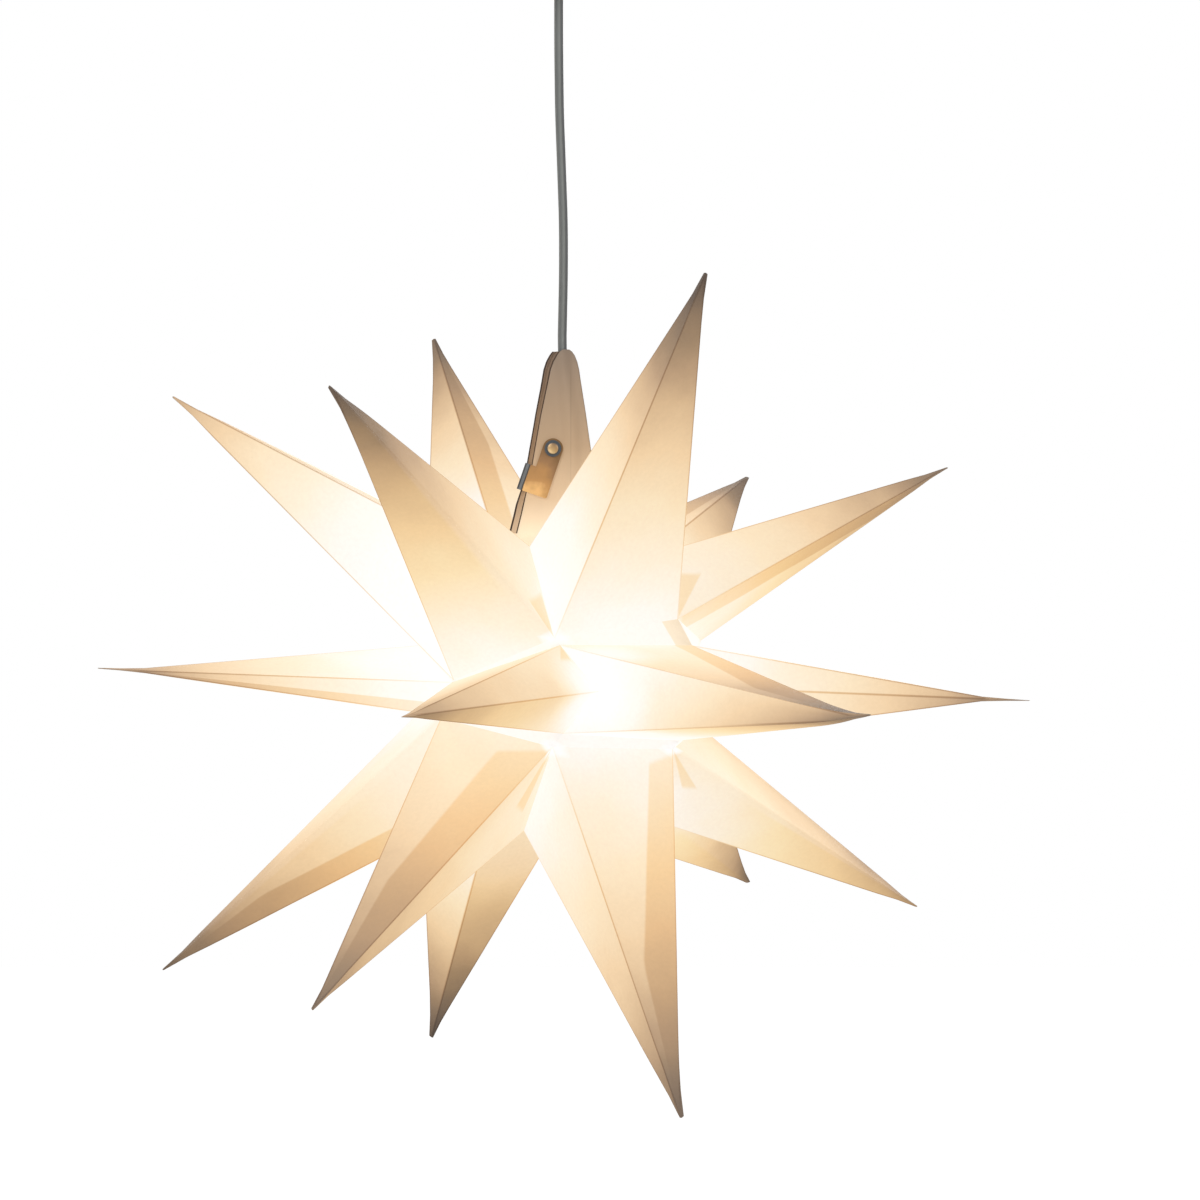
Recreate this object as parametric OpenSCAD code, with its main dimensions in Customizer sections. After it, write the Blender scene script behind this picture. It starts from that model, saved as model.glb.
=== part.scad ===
// Folded paper star lantern on a hanging cable, lit from inside.
// Millimetres, Z up. The origin is the middle of the ceiling face, and the
// front of the star, where the neck clip is, looks along -Y.

/* [Star] */
// Width across the middle row of points
star_span = 580; // [540:5:640]
// Distance from the star's centre to the tips of the upper and lower rows
outer_reach = 308; // [290:2:330]
// How far the star hangs lower on its right side, in degrees
star_lean = 1; // [0:0.5:3]
// Distance from the ceiling down to the star's centre
hang_drop = 475; // [470:5:700]

/* [Paper] */
// Thickness of the translucent card
paper_t = 0.6; // [0.5:0.1:0.8]
// Width of the glue tabs inside the spikes
tab_width = 16; // [12:1:18]
// Thickness of one pressed bundle of neck leaves
leaf_t = 1.5; // [1:0.1:1.8]

/* [Neck clip] */
// Width of the clip plate
clip_w = 12.6; // [11:0.2:13]
// Length of the clip plate below the rivet
clip_drop = 31; // [28:1:34]
// Lean of the closed clip from upright, in degrees
clip_lean = 19; // [17:1:21]
// Thickness of the clip's sheet metal
clip_t = 0.8; // [0.6:0.1:1]
// Radius of the domed rivet's head
rivet_head_r = 5.2; // [4.4:0.2:5.6]

/* [Lamp] */
// Diameter of the hanging cable
cable_d = 5.6; // [5:0.2:6]
// Diameter of the lamp holder
holder_d = 28; // [26:1:34]
// Diameter of the bulb
bulb_d = 45; // [40:1:60]

/* [Ceiling cup] */
// Diameter of the ceiling cup
cup_d = 90; // [80:2:110]
// Depth of the ceiling cup
cup_depth = 28; // [24:1:30]

/* [Hidden] */
$fn = 48;
eps = 0.01;
fit_gap = 0.3;

paper = [0.97, 0.92, 0.83];
leaf_colour = [0.86, 0.77, 0.70];
brass_colour = [0.72, 0.60, 0.38];
cable_colour = [0.45, 0.47, 0.46];
white_plastic = [0.93, 0.93, 0.91];
steel_colour = [0.75, 0.76, 0.77];

// The six sheets, counted to the right round the star from the front left.
// A sheet carries one spike of each row. The real star is pulled a little out
// of true by its neck, so every spike has its own turn and rise, in degrees.
k = star_span / 580;
mid_turn = [-18, 37, 83, 150, 212, 278];
mid_rise = [-1, -1, 0, 0, 0, 2];
top_turn = [-33, 26.5, 114.5, 153.5, 205.5, 288.5];
top_rise = [36, 55, 28, 26.5, 47, 35];
bottom_turn = [-34.5, 22.5, 120, 152, 206, 268];
bottom_rise = [-35.5, -52, -28, -27, -51.5, -36];

// The valleys between the sheets: turn in degrees, heights and reaches in mm
valley_turn = [-4, 52, 122, 180, 254, 308];
upper_pit_reach = [88, 88, 103, 88, 92, 86];
lower_pit_reach = [88, 86, 103, 88, 96, 95];
upper_pit_z = [35, 47, 31, 36, 30, 7];
lower_pit_z = [-31, -33, -24, -32, -18, -16];
waist_reach = [111, 106, 106, 104, 112, 90];
waist_turn = [11, 61, 131, 189, 263, 308];
waist_z = [4, 5, 0, 0, 0, -4];
collar_turn = [-30, 50, 120, 180, 245, 300];
collar_z = [90, 80, 74, 85, 82, 76];
collar_reach = 45;
foot_reach = 46;
foot_z = [-86, -72, -70, -86, -70, -67];
bottom_z = -95;
// How far down the valley, as a share of the way from a pit to the waist, the
// folds of the middle row start
upper_shoulder = [0.13, 0.38, 0.15, 0.15, 0.15, 0.1];
lower_shoulder = [0.24, 0.14, 0.15, 0.15, 0.15, 0.1];

// The star hangs a little to the right of its plumb line
star_x = 3;
centre = [star_x, 0, -hang_drop];

// A star point from its reach, turn and height, leaned with the whole star
function leaned(p) = [p.x * cos(star_lean) + p.z * sin(star_lean), p.y,
    p.z * cos(star_lean) - p.x * sin(star_lean)];
function star_point(reach, turn, z) = centre + k * leaned([reach * sin(turn), -reach * cos(turn), z]);
function tip_point(reach, turn, rise) =
    centre + leaned([reach * cos(rise) * sin(turn), -reach * cos(rise) * cos(turn), reach * sin(rise)]);

function collar(v) = star_point(collar_reach, collar_turn[v], collar_z[v]);
function upper_pit(v) = star_point(upper_pit_reach[v], valley_turn[v], upper_pit_z[v]);
function waist(v) = star_point(waist_reach[v], waist_turn[v], waist_z[v]);
function lower_pit(v) = star_point(lower_pit_reach[v], valley_turn[v], lower_pit_z[v]);
function foot(v) = star_point(foot_reach, collar_turn[v], foot_z[v]);
function valley(v) = [collar(v), upper_pit(v), part_way(upper_pit(v), waist(v), upper_shoulder[v]),
    waist(v), part_way(lower_pit(v), waist(v), lower_shoulder[v]), lower_pit(v), foot(v)];

function unit(v) = v / norm(v);
function part_way(a, b, t) = a + (b - a) * t;
function mean(points) = [for (a = [0 : 2]) sum([for (p = points) p[a]]) / len(points)];
function sum(values, i = 0) = i < len(values) ? values[i] + sum(values, i + 1) : 0;
function flat(lists) = [for (l = lists) each l];
function inward(p, d) = p + unit(centre - p) * d;

// Fold lines: a spike's corners run clockwise round its base, seen from outside.
// A bridge is the narrow strip of the sheet between two of its spikes.
wall_in = 2.5 * paper_t;
upper_corners = [0, 7, 8, 1];
middle_corners = [2, 9, 10, 11, 4, 3];
lower_corners = [5, 12, 13, 6];
spikes = [upper_corners, middle_corners, lower_corners];
upper_bridge = [1, 8, 9, 2];
lower_bridge = [4, 11, 12, 5];
bottom_corners = [6, 13, 14];
left_edge = [0, 1, 2, 3, 4, 5, 6, 14];
right_edge = [14, 13, 12, 11, 10, 9, 8, 7];

// Each ring along a spike: how far out it sits, its size beside the base, and
// how much of its thickness is left where the tip is pinched flat
ring_out = [0.86, 0.93, 1];
ring_size = [0.14, 0.08, 0.03];
ring_left = [1, 0.8, 0.5];
hollow_less = 0.03;
hollow_end = 0.91;

function pinched(v, axis, left) =
    let (flat_way = unit(cross(cross(axis, [0, 0, 1]), axis)))
    v - (1 - left) * (v * flat_way) * flat_way;
function spike_ring(corners, tip, out, size, left) =
    let (base = mean(corners), axis = unit(tip - base))
    [for (c = corners) base + out * (tip - base) + size * pinched(c - base, axis, left)];

function sheet_base(s) = concat(valley((s + 5) % 6), valley(s), [star_point(0, 0, bottom_z)]);
function sheet_tips(s) = [tip_point(outer_reach, top_turn[s], top_rise[s]),
    tip_point(star_span / 2, mid_turn[s], mid_rise[s]),
    tip_point(outer_reach, bottom_turn[s], bottom_rise[s])];

function picked(points, which) = [for (i = which) points[i]];
function outer_rings(s, n) = flat([for (r = [0 : 2])
    spike_ring(picked(sheet_base(s), spikes[n]), sheet_tips(s)[n], ring_out[r],
        ring_size[r], ring_left[r])]);
function inner_ring(s, n) =
    spike_ring(picked(sheet_base(s), spikes[n]), sheet_tips(s)[n], ring_out[0],
        ring_size[0] - hollow_less, 1);
function on_axis(s, n, out) =
    let (base = mean(picked(sheet_base(s), spikes[n])))
    base + out * (sheet_tips(s)[n] - base);

// Faces of the strip between two rings of the same corner count
function strip(a, b, turned = false) = flat([for (j = [0 : len(a) - 1])
    let (m = (j + 1) % len(a))
    turned ? [[a[m], a[j], b[j]], [a[m], b[j], b[m]]] : [[a[j], a[m], b[m]], [a[j], b[m], b[j]]]]);
function run(start, count) = [for (i = [0 : count - 1]) start + i];
function fan(apex, ring, turned = false) = [for (j = [0 : len(ring) - 1])
    let (m = (j + 1) % len(ring))
    turned ? [ring[m], ring[j], apex] : [ring[j], ring[m], apex]];

base_count = 15;
tip_rounding = 1.003;
function spike_points(s, n) = concat(outer_rings(s, n), inner_ring(s, n),
    [on_axis(s, n, tip_rounding), on_axis(s, n, hollow_end)]);
function spike_start(n) =
    2 * base_count + sum([for (m = [0 : 1 : n - 1]) 4 * len(spikes[m]) + 2]);
function inner_of(list) = [for (i = list) i + base_count];
function spike_faces(n) =
    let (c = spikes[n], count = len(c), at = spike_start(n),
        r0 = run(at, count), r1 = run(at + count, count), r2 = run(at + 2 * count, count),
        inner = run(at + 3 * count, count))
    concat(strip(c, r0), strip(r0, r1), strip(r1, r2), fan(at + 4 * count, r2),
        strip(inner_of(c), inner, true), fan(at + 4 * count + 1, inner, true));

// A flat piece of the sheet with its lining, and the sheet's cut edges
function reversed(list) = [for (i = [len(list) - 1 : -1 : 0]) list[i]];
function both_sides(face) = [face, reversed(inner_of(face))];
function bridge_faces(q) = concat(both_sides([q[0], q[1], q[2]]), both_sides([q[0], q[2], q[3]]));
function edge_faces(path) = [for (i = [0 : len(path) - 2])
    [path[i], path[i + 1], path[i + 1] + base_count, path[i] + base_count]];

module folded_sheet(s) {
    base = sheet_base(s);
    points = concat(base, [for (p = base) inward(p, wall_in)],
        flat([for (n = [0 : 2]) spike_points(s, n)]));
    faces = concat(flat([for (n = [0 : 2]) spike_faces(n)]), bridge_faces(upper_bridge),
        bridge_faces(lower_bridge), both_sides(bottom_corners), edge_faces(left_edge),
        edge_faces(right_edge), edge_faces([right_edge[7], left_edge[0]]));
    polyhedron(points = points, faces = faces, convexity = 10);
}

// A glue tab lies under one face, along the fold from a base corner to the tip.
// It starts and ends with a slant, and hangs from the fold. Which of a spike's
// folds is the glued one, for the upper, middle and lower spike of each sheet:
glued_folds = [[1, 1, 1], [1, 1, 1], [3, 1, 1], [1, 1, 1], [1, 1, 1], [1, 3, 2]];
tab_slant = 0.6;
tab_start = 0.04;
tab_end = 0.84;
tab_root = 0.3;
tab_most = 0.55;
tab_clear = 0.25;

module glue_tab(s, n) {
    base = sheet_base(s);
    ring = inner_ring(s, n);
    corners = spikes[n];
    fold = glued_folds[s][n];
    a = inward(base[corners[fold]], wall_in);
    b = inward(base[corners[fold - 1]], wall_in);
    along = ring[fold] - a;
    across = unit((b - a) - ((b - a) * unit(along)) * unit(along));
    normal = unit(cross(along, across));
    into = normal * sign(normal * (mean(picked(base, corners)) - ring[fold]));
    face_w = (b - a) * across;
    width = min(tab_width, tab_most * face_w);
    slant = tab_slant * width / norm(along);
    narrow_at = 1 - 1.5 * width / face_w;
    outline = [a + tab_start * along - tab_root * across,
        a + (tab_start + slant) * along + width * across,
        a + narrow_at * along + width * across,
        a + tab_end * along + (1 - tab_end) * 0.5 * face_w * across,
        a + tab_end * along - tab_root * across];
    count = len(outline);
    low = [for (p = outline) p + tab_clear * into];
    high = [for (p = outline) p + (tab_clear + paper_t) * into];
    up = into * cross(along, across) < 0;
    floor = [for (i = [0 : count - 1]) up ? i : count - 1 - i];
    roof = [for (i = [0 : count - 1]) count + (up ? count - 1 - i : i)];
    sides = [for (i = [0 : count - 1]) let (m = (i + 1) % count)
        up ? [i, count + i, count + m, m] : [m, count + m, count + i, i]];
    polyhedron(points = concat(low, high), faces = concat([floor, roof], sides), convexity = 4);
}

module star_sheet(s) {
    color(paper) union() {
        folded_sheet(s);
        for (n = [0 : 2]) glue_tab(s, n);
    }
}

module sheet_front_left() { star_sheet(0); }
module sheet_front_right() { star_sheet(1); }
module sheet_right() { star_sheet(2); }
module sheet_back_right() { star_sheet(3); }
module sheet_back_left() { star_sheet(4); }
module sheet_left() { star_sheet(5); }

// The lamp holder's top, where the cable ends, as a height above the star's centre
gland_h = 10;
holder_top = 74 * k;
cable_end = holder_top + gland_h;

// The neck: two bundles of leaves pressed flat round the cable. The rows run
// up from its base: height above the base, left and right edges.
neck_base = collar_z[0] * k + 8;
neck_rows = [[0, -29, 24.5], [12, -26, 22.8], [26, -22.9, 20.8], [44, -19.2, 18.3],
    [52, -17.8, 17.2], [74, -13.9, 14.1], [95, -9.4, 10.8], [102, -8, 9.8], [107, -6.2, 8.6],
    [111, -4, 7], [113.4, -2.2, 5.3], [114.6, -0.4, 3.6]];
leaf_gap = 1;
back_shift = 3.2;
cable_r = cable_d / 2;
bulge_half = cable_r + 2;
bulge = cable_r + fit_gap - leaf_gap / 2;

// The cable's route: offset to the right, and height above the neck's base. Its
// top goes into the ceiling cup's gland, and its end into the lamp holder's.
cup_gland_h = 10;
cable_top = hang_drop - cup_depth - cup_gland_h - neck_base;
cable_route = [[-3, cable_top], [-3, 302], [-2.5, 262], [-1, 222], [0, 192], [0, 162],
    [-0.5, 137], [-1, 114], [0, 102], [2, 87], [4.5, 70], [5.5, 54], [5.5, 40], [4.5, 24],
    [2.5, 8], [0.5, -4], [0, cable_end - neck_base]];
function cable_x(rise) = lookup(rise, [for (p = cable_route) [p[1], p[0]]]);

// One across-section of a leaf: side is -1 for the front bundle, 1 for the back
bulge_steps = [-1, -0.55, -0.2, 0.2, 0.55, 1];
function held(x, low, high) = min(max(x, low), high);
function leaf_columns(rise, left, right) =
    let (mid = cable_x(rise), step = 0.15)
    [left, for (i = [0 : 5]) held(mid + bulge_half * bulge_steps[i], left + (i + 1) * step,
        right - (6 - i) * step), right];
function bump(x, rise) =
    let (u = abs(x - cable_x(rise)) / bulge_half)
    u < 1 ? bulge * sqrt(1 - u * u) : 0;
function leaf_row(row, side) =
    let (rise = row[0], left = row[1] - (side > 0 ? back_shift : 0),
        right = row[2] - (side > 0 ? back_shift / 2 : 0))
    [for (x = leaf_columns(rise, left, right))
        centre + [x, side * (leaf_gap / 2 + bump(x, rise)), neck_base + rise]];

// The leaf's foot follows the star's collar from one side to the other
function collar_run(side) = side < 0
    ? [part_way(collar(4), collar(5), 0.5), collar(5), part_way(collar(5), collar(0), 0.5), collar(0),
        part_way(collar(0), collar(1), 0.33), part_way(collar(0), collar(1), 0.67), collar(1),
        part_way(collar(1), collar(2), 0.5)]
    : [part_way(collar(4), collar(5), 0.5), collar(4), part_way(collar(4), collar(3), 0.5),
        part_way(collar(4), collar(3), 0.8), collar(3), part_way(collar(3), collar(2), 0.5), collar(2),
        part_way(collar(1), collar(2), 0.5)];
function foot_row(side) = [for (p = collar_run(side)) p + [0, 0, fit_gap]];
function foot_inner(side) = [for (p = foot_row(side)) p + unit([centre.x - p.x, -p.y, 0]) * leaf_t];
function leaf_outer(row, side) = [for (p = leaf_row(row, side)) p + [0, side * leaf_t, 0]];

module neck_leaf(side) {
    columns = 8;
    outer = concat(foot_row(side), flat([for (r = neck_rows) leaf_outer(r, side)]));
    inner = concat(foot_inner(side), flat([for (r = neck_rows) leaf_row(r, side)]));
    rows = len(neck_rows) + 1;
    back = rows * columns;
    function at(r, c) = r * columns + c;
    skin = flat([for (r = [0 : rows - 2], c = [0 : columns - 2])
        [[at(r, c), at(r + 1, c), at(r + 1, c + 1)], [at(r, c), at(r + 1, c + 1), at(r, c + 1)]]]);
    lining = [for (f = skin) [f[2] + back, f[1] + back, f[0] + back]];
    rim = concat([for (c = [0 : columns - 2]) at(0, c)], [for (r = [0 : rows - 2]) at(r, columns - 1)],
        [for (c = [columns - 1 : -1 : 1]) at(rows - 1, c)], [for (r = [rows - 1 : -1 : 1]) at(r, 0)]);
    edge = flat([for (i = [0 : len(rim) - 1]) let (a = rim[i], b = rim[(i + 1) % len(rim)])
        [[a, b, b + back], [a, b + back, a + back]]]);
    faces = concat(skin, lining, edge);
    polyhedron(points = concat(outer, inner),
        faces = side < 0 ? faces : [for (f = faces) [f[2], f[1], f[0]]], convexity = 8);
}

// The clip turns on a domed rivet that goes through both leaves. Its hook goes
// round their left edges, and lets them go when the clip swings up to the left.
rivet_x = star_x - 6.6;
rivet_z = neck_base + 53 - hang_drop;
rivet_r = 2;
rivet_rim_t = 0.5;
rivet_dome_r = 3.9;
rivet_dome_h = 1.2;
rivet_back_r = 3.2;
rivet_back_t = 0.7;
leaf_face = leaf_gap / 2 + leaf_t;
plate_back = leaf_face + fit_gap;
plate_front = plate_back + clip_t;
plate_corner = 1.2;
hook_len = 17;
hook_reach = 13.3;
hook_grip = 6;
bend_r = 1.6;

module rivet_bore() {
    translate([rivet_x, 0, rivet_z]) rotate([90, 0, 0])
        cylinder(r = rivet_r + fit_gap, h = 40, center = true);
}

module neck_front_leaf() {
    color(leaf_colour) difference() {
        neck_leaf(-1);
        rivet_bore();
    }
}

module neck_back_leaf() {
    color(leaf_colour) difference() {
        neck_leaf(1);
        rivet_bore();
    }
}

// Clip outline in its own plane: rivet at the origin, hook side at -X
module plate_outline() {
    half = clip_w / 2;
    difference() {
        union() {
            circle(r = half);
            translate([-half, -clip_drop]) square([clip_w - plate_corner, clip_drop]);
            translate([0, plate_corner - clip_drop]) square([half, clip_drop - plate_corner]);
            translate([half - plate_corner, plate_corner - clip_drop]) circle(r = plate_corner);
            translate([bend_r - hook_reach, -clip_drop]) square([hook_reach - bend_r, hook_len]);
        }
        circle(r = rivet_r + fit_gap);
    }
}

// The hook seen along the clip: side -1 is its front bend and 1 its back bend
module hook_bend(side) {
    translate([bend_r - hook_reach, side * (plate_front - bend_r)]) intersection() {
        difference() {
            circle(r = bend_r);
            circle(r = bend_r - clip_t);
        }
        translate([-bend_r, side > 0 ? 0 : -bend_r]) square(bend_r);
    }
}

module hook_outline() {
    for (side = [-1, 1]) hook_bend(side);
    translate([-hook_reach, bend_r - plate_front - eps]) square([clip_t, 2 * (plate_front - bend_r + eps)]);
    translate([bend_r - hook_reach - eps, plate_back]) square([hook_grip - bend_r, clip_t]);
    translate([bend_r - hook_reach - eps, -plate_front]) square([bend_r, clip_t]);
}

module clip_plate() {
    color(brass_colour) translate([rivet_x, 0, rivet_z]) rotate([0, clip_lean, 0]) {
        translate([0, -plate_back, 0]) rotate([90, 0, 0]) linear_extrude(clip_t) plate_outline();
        translate([0, 0, -clip_drop]) linear_extrude(hook_len) hook_outline();
    }
}

module clip_rivet() {
    color(brass_colour) translate([rivet_x, 0, rivet_z]) rotate([90, 0, 0]) {
        translate([0, 0, plate_front + fit_gap]) {
            cylinder(r = rivet_head_r, h = rivet_rim_t);
            translate([0, 0, rivet_rim_t - eps]) rotate_extrude() polygon(concat([[0, 0]],
                [for (a = [0 : 15 : 90]) [rivet_dome_r * cos(a), rivet_dome_h * sin(a)]]));
        }
        translate([0, 0, -leaf_face - rivet_back_t]) {
            cylinder(r = rivet_r, h = leaf_face + rivet_back_t + plate_front + fit_gap + eps);
            cylinder(r = rivet_back_r, h = rivet_back_t);
        }
    }
}

// The cable: one tube swept along the route, with rings close enough to bend
cable_sides = 10;
ring_apart = 2.4 * cable_d;
cable_rings = [for (i = [1 : len(cable_route) - 1])
    let (a = cable_route[i - 1], b = cable_route[i], count = ceil(norm(b - a) / ring_apart))
    for (j = [0 : count - 1]) a + (b - a) * j / count,
    cable_route[len(cable_route) - 1]];
module cable() {
    rings = len(cable_rings);
    points = [for (p = cable_rings, i = [0 : cable_sides - 1])
        let (a = 360 * i / cable_sides)
        centre + [p[0] + cable_r * cos(a), cable_r * sin(a), neck_base + p[1]]];
    sides = [for (r = [0 : rings - 2], i = [0 : cable_sides - 1])
        let (m = (i + 1) % cable_sides, a = r * cable_sides, b = a + cable_sides)
        [a + i, a + m, b + m, b + i]];
    top = [for (i = [cable_sides - 1 : -1 : 0]) i];
    bottom = [for (i = [0 : cable_sides - 1]) (rings - 1) * cable_sides + i];
    color(cable_colour) polyhedron(points = points, faces = concat(sides, [top, bottom]), convexity = 4);
}

// The lamp holder hangs on the cable's end inside the star
holder_r = holder_d / 2;
gland_r = 6;
cap_h = 20;
shell_h = 42;
wall = 1.6;
module at_height(z) { translate(centre + [0, 0, z]) children(); }

module holder_gland() {
    color(white_plastic) at_height(holder_top) {
        cylinder(r = gland_r, h = gland_h);
        translate([0, 0, -3]) cylinder(r = gland_r - 1.5, h = 3 + eps);
    }
}

module holder_cap() {
    color(white_plastic) at_height(holder_top - cap_h) difference() {
        rotate_extrude() polygon([[0, 0], [holder_r, 0], [holder_r, cap_h * 0.4],
            [holder_r - 2, cap_h * 0.7], [holder_r - 5, cap_h - 1], [holder_r - 6.5, cap_h], [0, cap_h]]);
        translate([0, 0, -eps]) cylinder(r = holder_r - 4, h = cap_h - 6);
        cylinder(r = gland_r - 1.5 + fit_gap / 3, h = cap_h + 1);
    }
}

module holder_shell() {
    color(white_plastic) at_height(holder_top - cap_h - shell_h) difference() {
        union() {
            cylinder(r = holder_r, h = shell_h);
            for (z = [4, 10]) translate([0, 0, z]) cylinder(r = holder_r + 1.2, h = 2.4);
        }
        translate([0, 0, -1]) cylinder(r = holder_r - wall, h = shell_h + 2);
    }
}

// The threaded liner and its plate, which the bulb screws into
base_r = 6.9;
liner_h = 26;
module holder_contact() {
    color(steel_colour) at_height(holder_top - cap_h - shell_h + 8) {
        difference() {
            cylinder(r = base_r + fit_gap + 1, h = liner_h);
            translate([0, 0, -1]) cylinder(r = base_r + fit_gap, h = liner_h + 2);
        }
        translate([0, 0, liner_h]) cylinder(r = holder_r - wall, h = 1.5);
    }
}

bulb_r = bulb_d / 2;
seat_z = holder_top - cap_h - shell_h + 8;
base_h = 22;
module bulb_base() {
    color(steel_colour) at_height(seat_z) {
        cylinder(r = base_r, h = base_h);
        translate([0, 0, base_h - eps]) cylinder(r1 = base_r - 1.5, r2 = 3, h = 2.5);
        for (i = [0 : 3]) translate([0, 0, 4 + 4 * i]) cylinder(r = base_r + fit_gap / 2, h = 1.6);
    }
}

neck_r = 9;
module bulb_glass() {
    drop_z = bulb_r + 12;
    color([1, 0.95, 0.85]) at_height(seat_z) rotate([180, 0, 0]) union() {
        cylinder(r = neck_r, h = drop_z);
        translate([0, 0, drop_z]) sphere(r = bulb_r);
    }
}

// The ceiling cup, its bracket, and the gland that the cable leaves through
cup_r = cup_d / 2;
cup_wall = 1.5;
cup_gland_r = 7;
cup_edge = 6;
bracket_hole_apart = 36;
bracket_hole_r = 2.3;
stud_apart = cup_d - 34;
stud_r = 2;

module cup_gland() {
    color(white_plastic) translate([0, 0, -cup_depth - cup_gland_h]) {
        translate([0, 0, 2]) cylinder(r = cup_gland_r, h = cup_gland_h - 2);
        cylinder(r1 = cup_gland_r - 1.5, r2 = cup_gland_r, h = 2 + eps);
        translate([0, 0, cup_gland_h - eps]) cylinder(r = cup_gland_r - 2.5, h = cup_wall + 4);
    }
}

module ceiling_cup() {
    color(white_plastic) difference() {
        rotate_extrude() polygon([[0, -cup_depth], [cup_r - cup_edge, -cup_depth],
            [cup_r - cup_edge * 0.4, -cup_depth + cup_edge * 0.35], [cup_r, -cup_depth + cup_edge],
            [cup_r, 0], [cup_r - cup_wall, 0], [cup_r - cup_wall, -cup_depth + cup_edge],
            [cup_r - cup_edge, -cup_depth + cup_wall], [0, -cup_depth + cup_wall]]);
        translate([0, 0, -cup_depth - 1]) cylinder(r = cup_gland_r - 2.5 + fit_gap / 3, h = cup_wall + 2);
        for (x = [-1, 1]) translate([x * stud_apart / 2, 0, -cup_depth - 1])
            cylinder(r = stud_r + fit_gap, h = cup_wall + 2);
    }
}

module ceiling_bracket() {
    color(steel_colour) {
        difference() {
            translate([-stud_apart / 2 - 8, -8, -1.5]) cube([stud_apart + 16, 16, 1.5]);
            for (x = [-1, 1]) translate([x * bracket_hole_apart / 2, 0, -3])
                cylinder(r = bracket_hole_r, h = 4);
        }
        for (x = [-1, 1]) translate([x * stud_apart / 2, 0, -cup_depth - 4])
            cylinder(r = stud_r, h = cup_depth + 4 - 1.5 + eps);
    }
}

module cup_nuts() {
    color(brass_colour) for (x = [-1, 1]) translate([x * stud_apart / 2, 0, -cup_depth - 5]) difference() {
        union() {
            cylinder(r = 4.5, h = 5);
            translate([0, 0, -1.2]) cylinder(r1 = 3, r2 = 4.5, h = 1.2 + eps);
        }
        translate([0, 0, 1]) cylinder(r = stud_r, h = 6);
    }
}

sheet_front_left();
sheet_front_right();
sheet_right();
sheet_back_right();
sheet_back_left();
sheet_left();
neck_front_leaf();
neck_back_leaf();
clip_plate();
clip_rivet();
cable();
holder_gland();
holder_cap();
holder_shell();
holder_contact();
bulb_base();
bulb_glass();
cup_gland();
ceiling_cup();
ceiling_bracket();
cup_nuts();
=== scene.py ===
# Looks of the folded paper star lantern: lit card spikes with their glue tabs,
# the pressed neck with its brass clip, the grey cable and the ceiling cup.
import math

import bmesh
import bpy
import numpy as np
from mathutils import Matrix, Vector, noise


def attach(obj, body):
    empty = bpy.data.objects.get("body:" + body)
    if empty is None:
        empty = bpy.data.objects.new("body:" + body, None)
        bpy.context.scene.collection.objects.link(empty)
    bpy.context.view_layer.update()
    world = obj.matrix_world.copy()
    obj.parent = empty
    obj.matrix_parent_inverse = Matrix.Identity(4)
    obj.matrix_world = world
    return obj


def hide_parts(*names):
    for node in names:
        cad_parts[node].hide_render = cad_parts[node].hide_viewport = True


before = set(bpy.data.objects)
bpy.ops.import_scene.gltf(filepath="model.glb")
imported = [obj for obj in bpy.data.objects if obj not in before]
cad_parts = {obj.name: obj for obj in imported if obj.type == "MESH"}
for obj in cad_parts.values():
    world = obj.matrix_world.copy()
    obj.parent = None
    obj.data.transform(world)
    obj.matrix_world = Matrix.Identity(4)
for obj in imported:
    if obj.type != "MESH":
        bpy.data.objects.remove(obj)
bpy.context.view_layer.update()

MM = 0.001
BODY = "lantern"

# The six sheets, from the front left round by the right, and a sheet's spikes
SHEETS = ["sheet_front_left", "sheet_front_right", "sheet_right", "sheet_back_right",
    "sheet_back_left", "sheet_left"]
FRONT_LEFT, FRONT_RIGHT, RIGHT, BACK_RIGHT, BACK_LEFT, LEFT = range(6)
UPPER, MIDDLE, LOWER = range(3)

# The star's form as part.scad has it, in millimetres and degrees. A list of six
# has a value for each sheet, or for the valley on each sheet's right.
STAR_CENTRE = np.array([3.0, 0.0, -475.0])
STAR_LEAN = 1
MID_REACH = 290
OUTER_REACH = 308
MID_TURN = [-18, 37, 83, 150, 212, 278]
MID_RISE = [-1, -1, 0, 0, 0, 2]
TOP_TURN = [-33, 26.5, 114.5, 153.5, 205.5, 288.5]
TOP_RISE = [36, 55, 28, 26.5, 47, 35]
BOTTOM_TURN = [-34.5, 22.5, 120, 152, 206, 268]
BOTTOM_RISE = [-35.5, -52, -28, -27, -51.5, -36]
VALLEY_TURN = [-4, 52, 122, 180, 254, 308]
UPPER_PIT_REACH = [88, 88, 103, 88, 92, 86]
LOWER_PIT_REACH = [88, 86, 103, 88, 96, 95]
UPPER_PIT_Z = [35, 47, 31, 36, 30, 7]
LOWER_PIT_Z = [-31, -33, -24, -32, -18, -16]
WAIST_REACH = [111, 106, 106, 104, 112, 90]
WAIST_TURN = [11, 61, 131, 189, 263, 308]
WAIST_Z = [4, 5, 0, 0, 0, -4]
COLLAR_REACH = 45
COLLAR_TURN = [-30, 50, 120, 180, 245, 300]
COLLAR_Z = [90, 80, 74, 85, 82, 76]
FOOT_REACH = 46
FOOT_Z = [-86, -72, -70, -86, -70, -67]
BOTTOM_Z = -95
# Places of the two shoulders between pit and waist, as shares of the way
UPPER_SHOULDER = [0.13, 0.38, 0.15, 0.15, 0.15, 0.1]
LOWER_SHOULDER = [0.24, 0.14, 0.15, 0.15, 0.15, 0.1]
# Places in a valley's list of points
UPPER_PIT, WAIST, LOWER_PIT = 1, 3, 5
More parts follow.
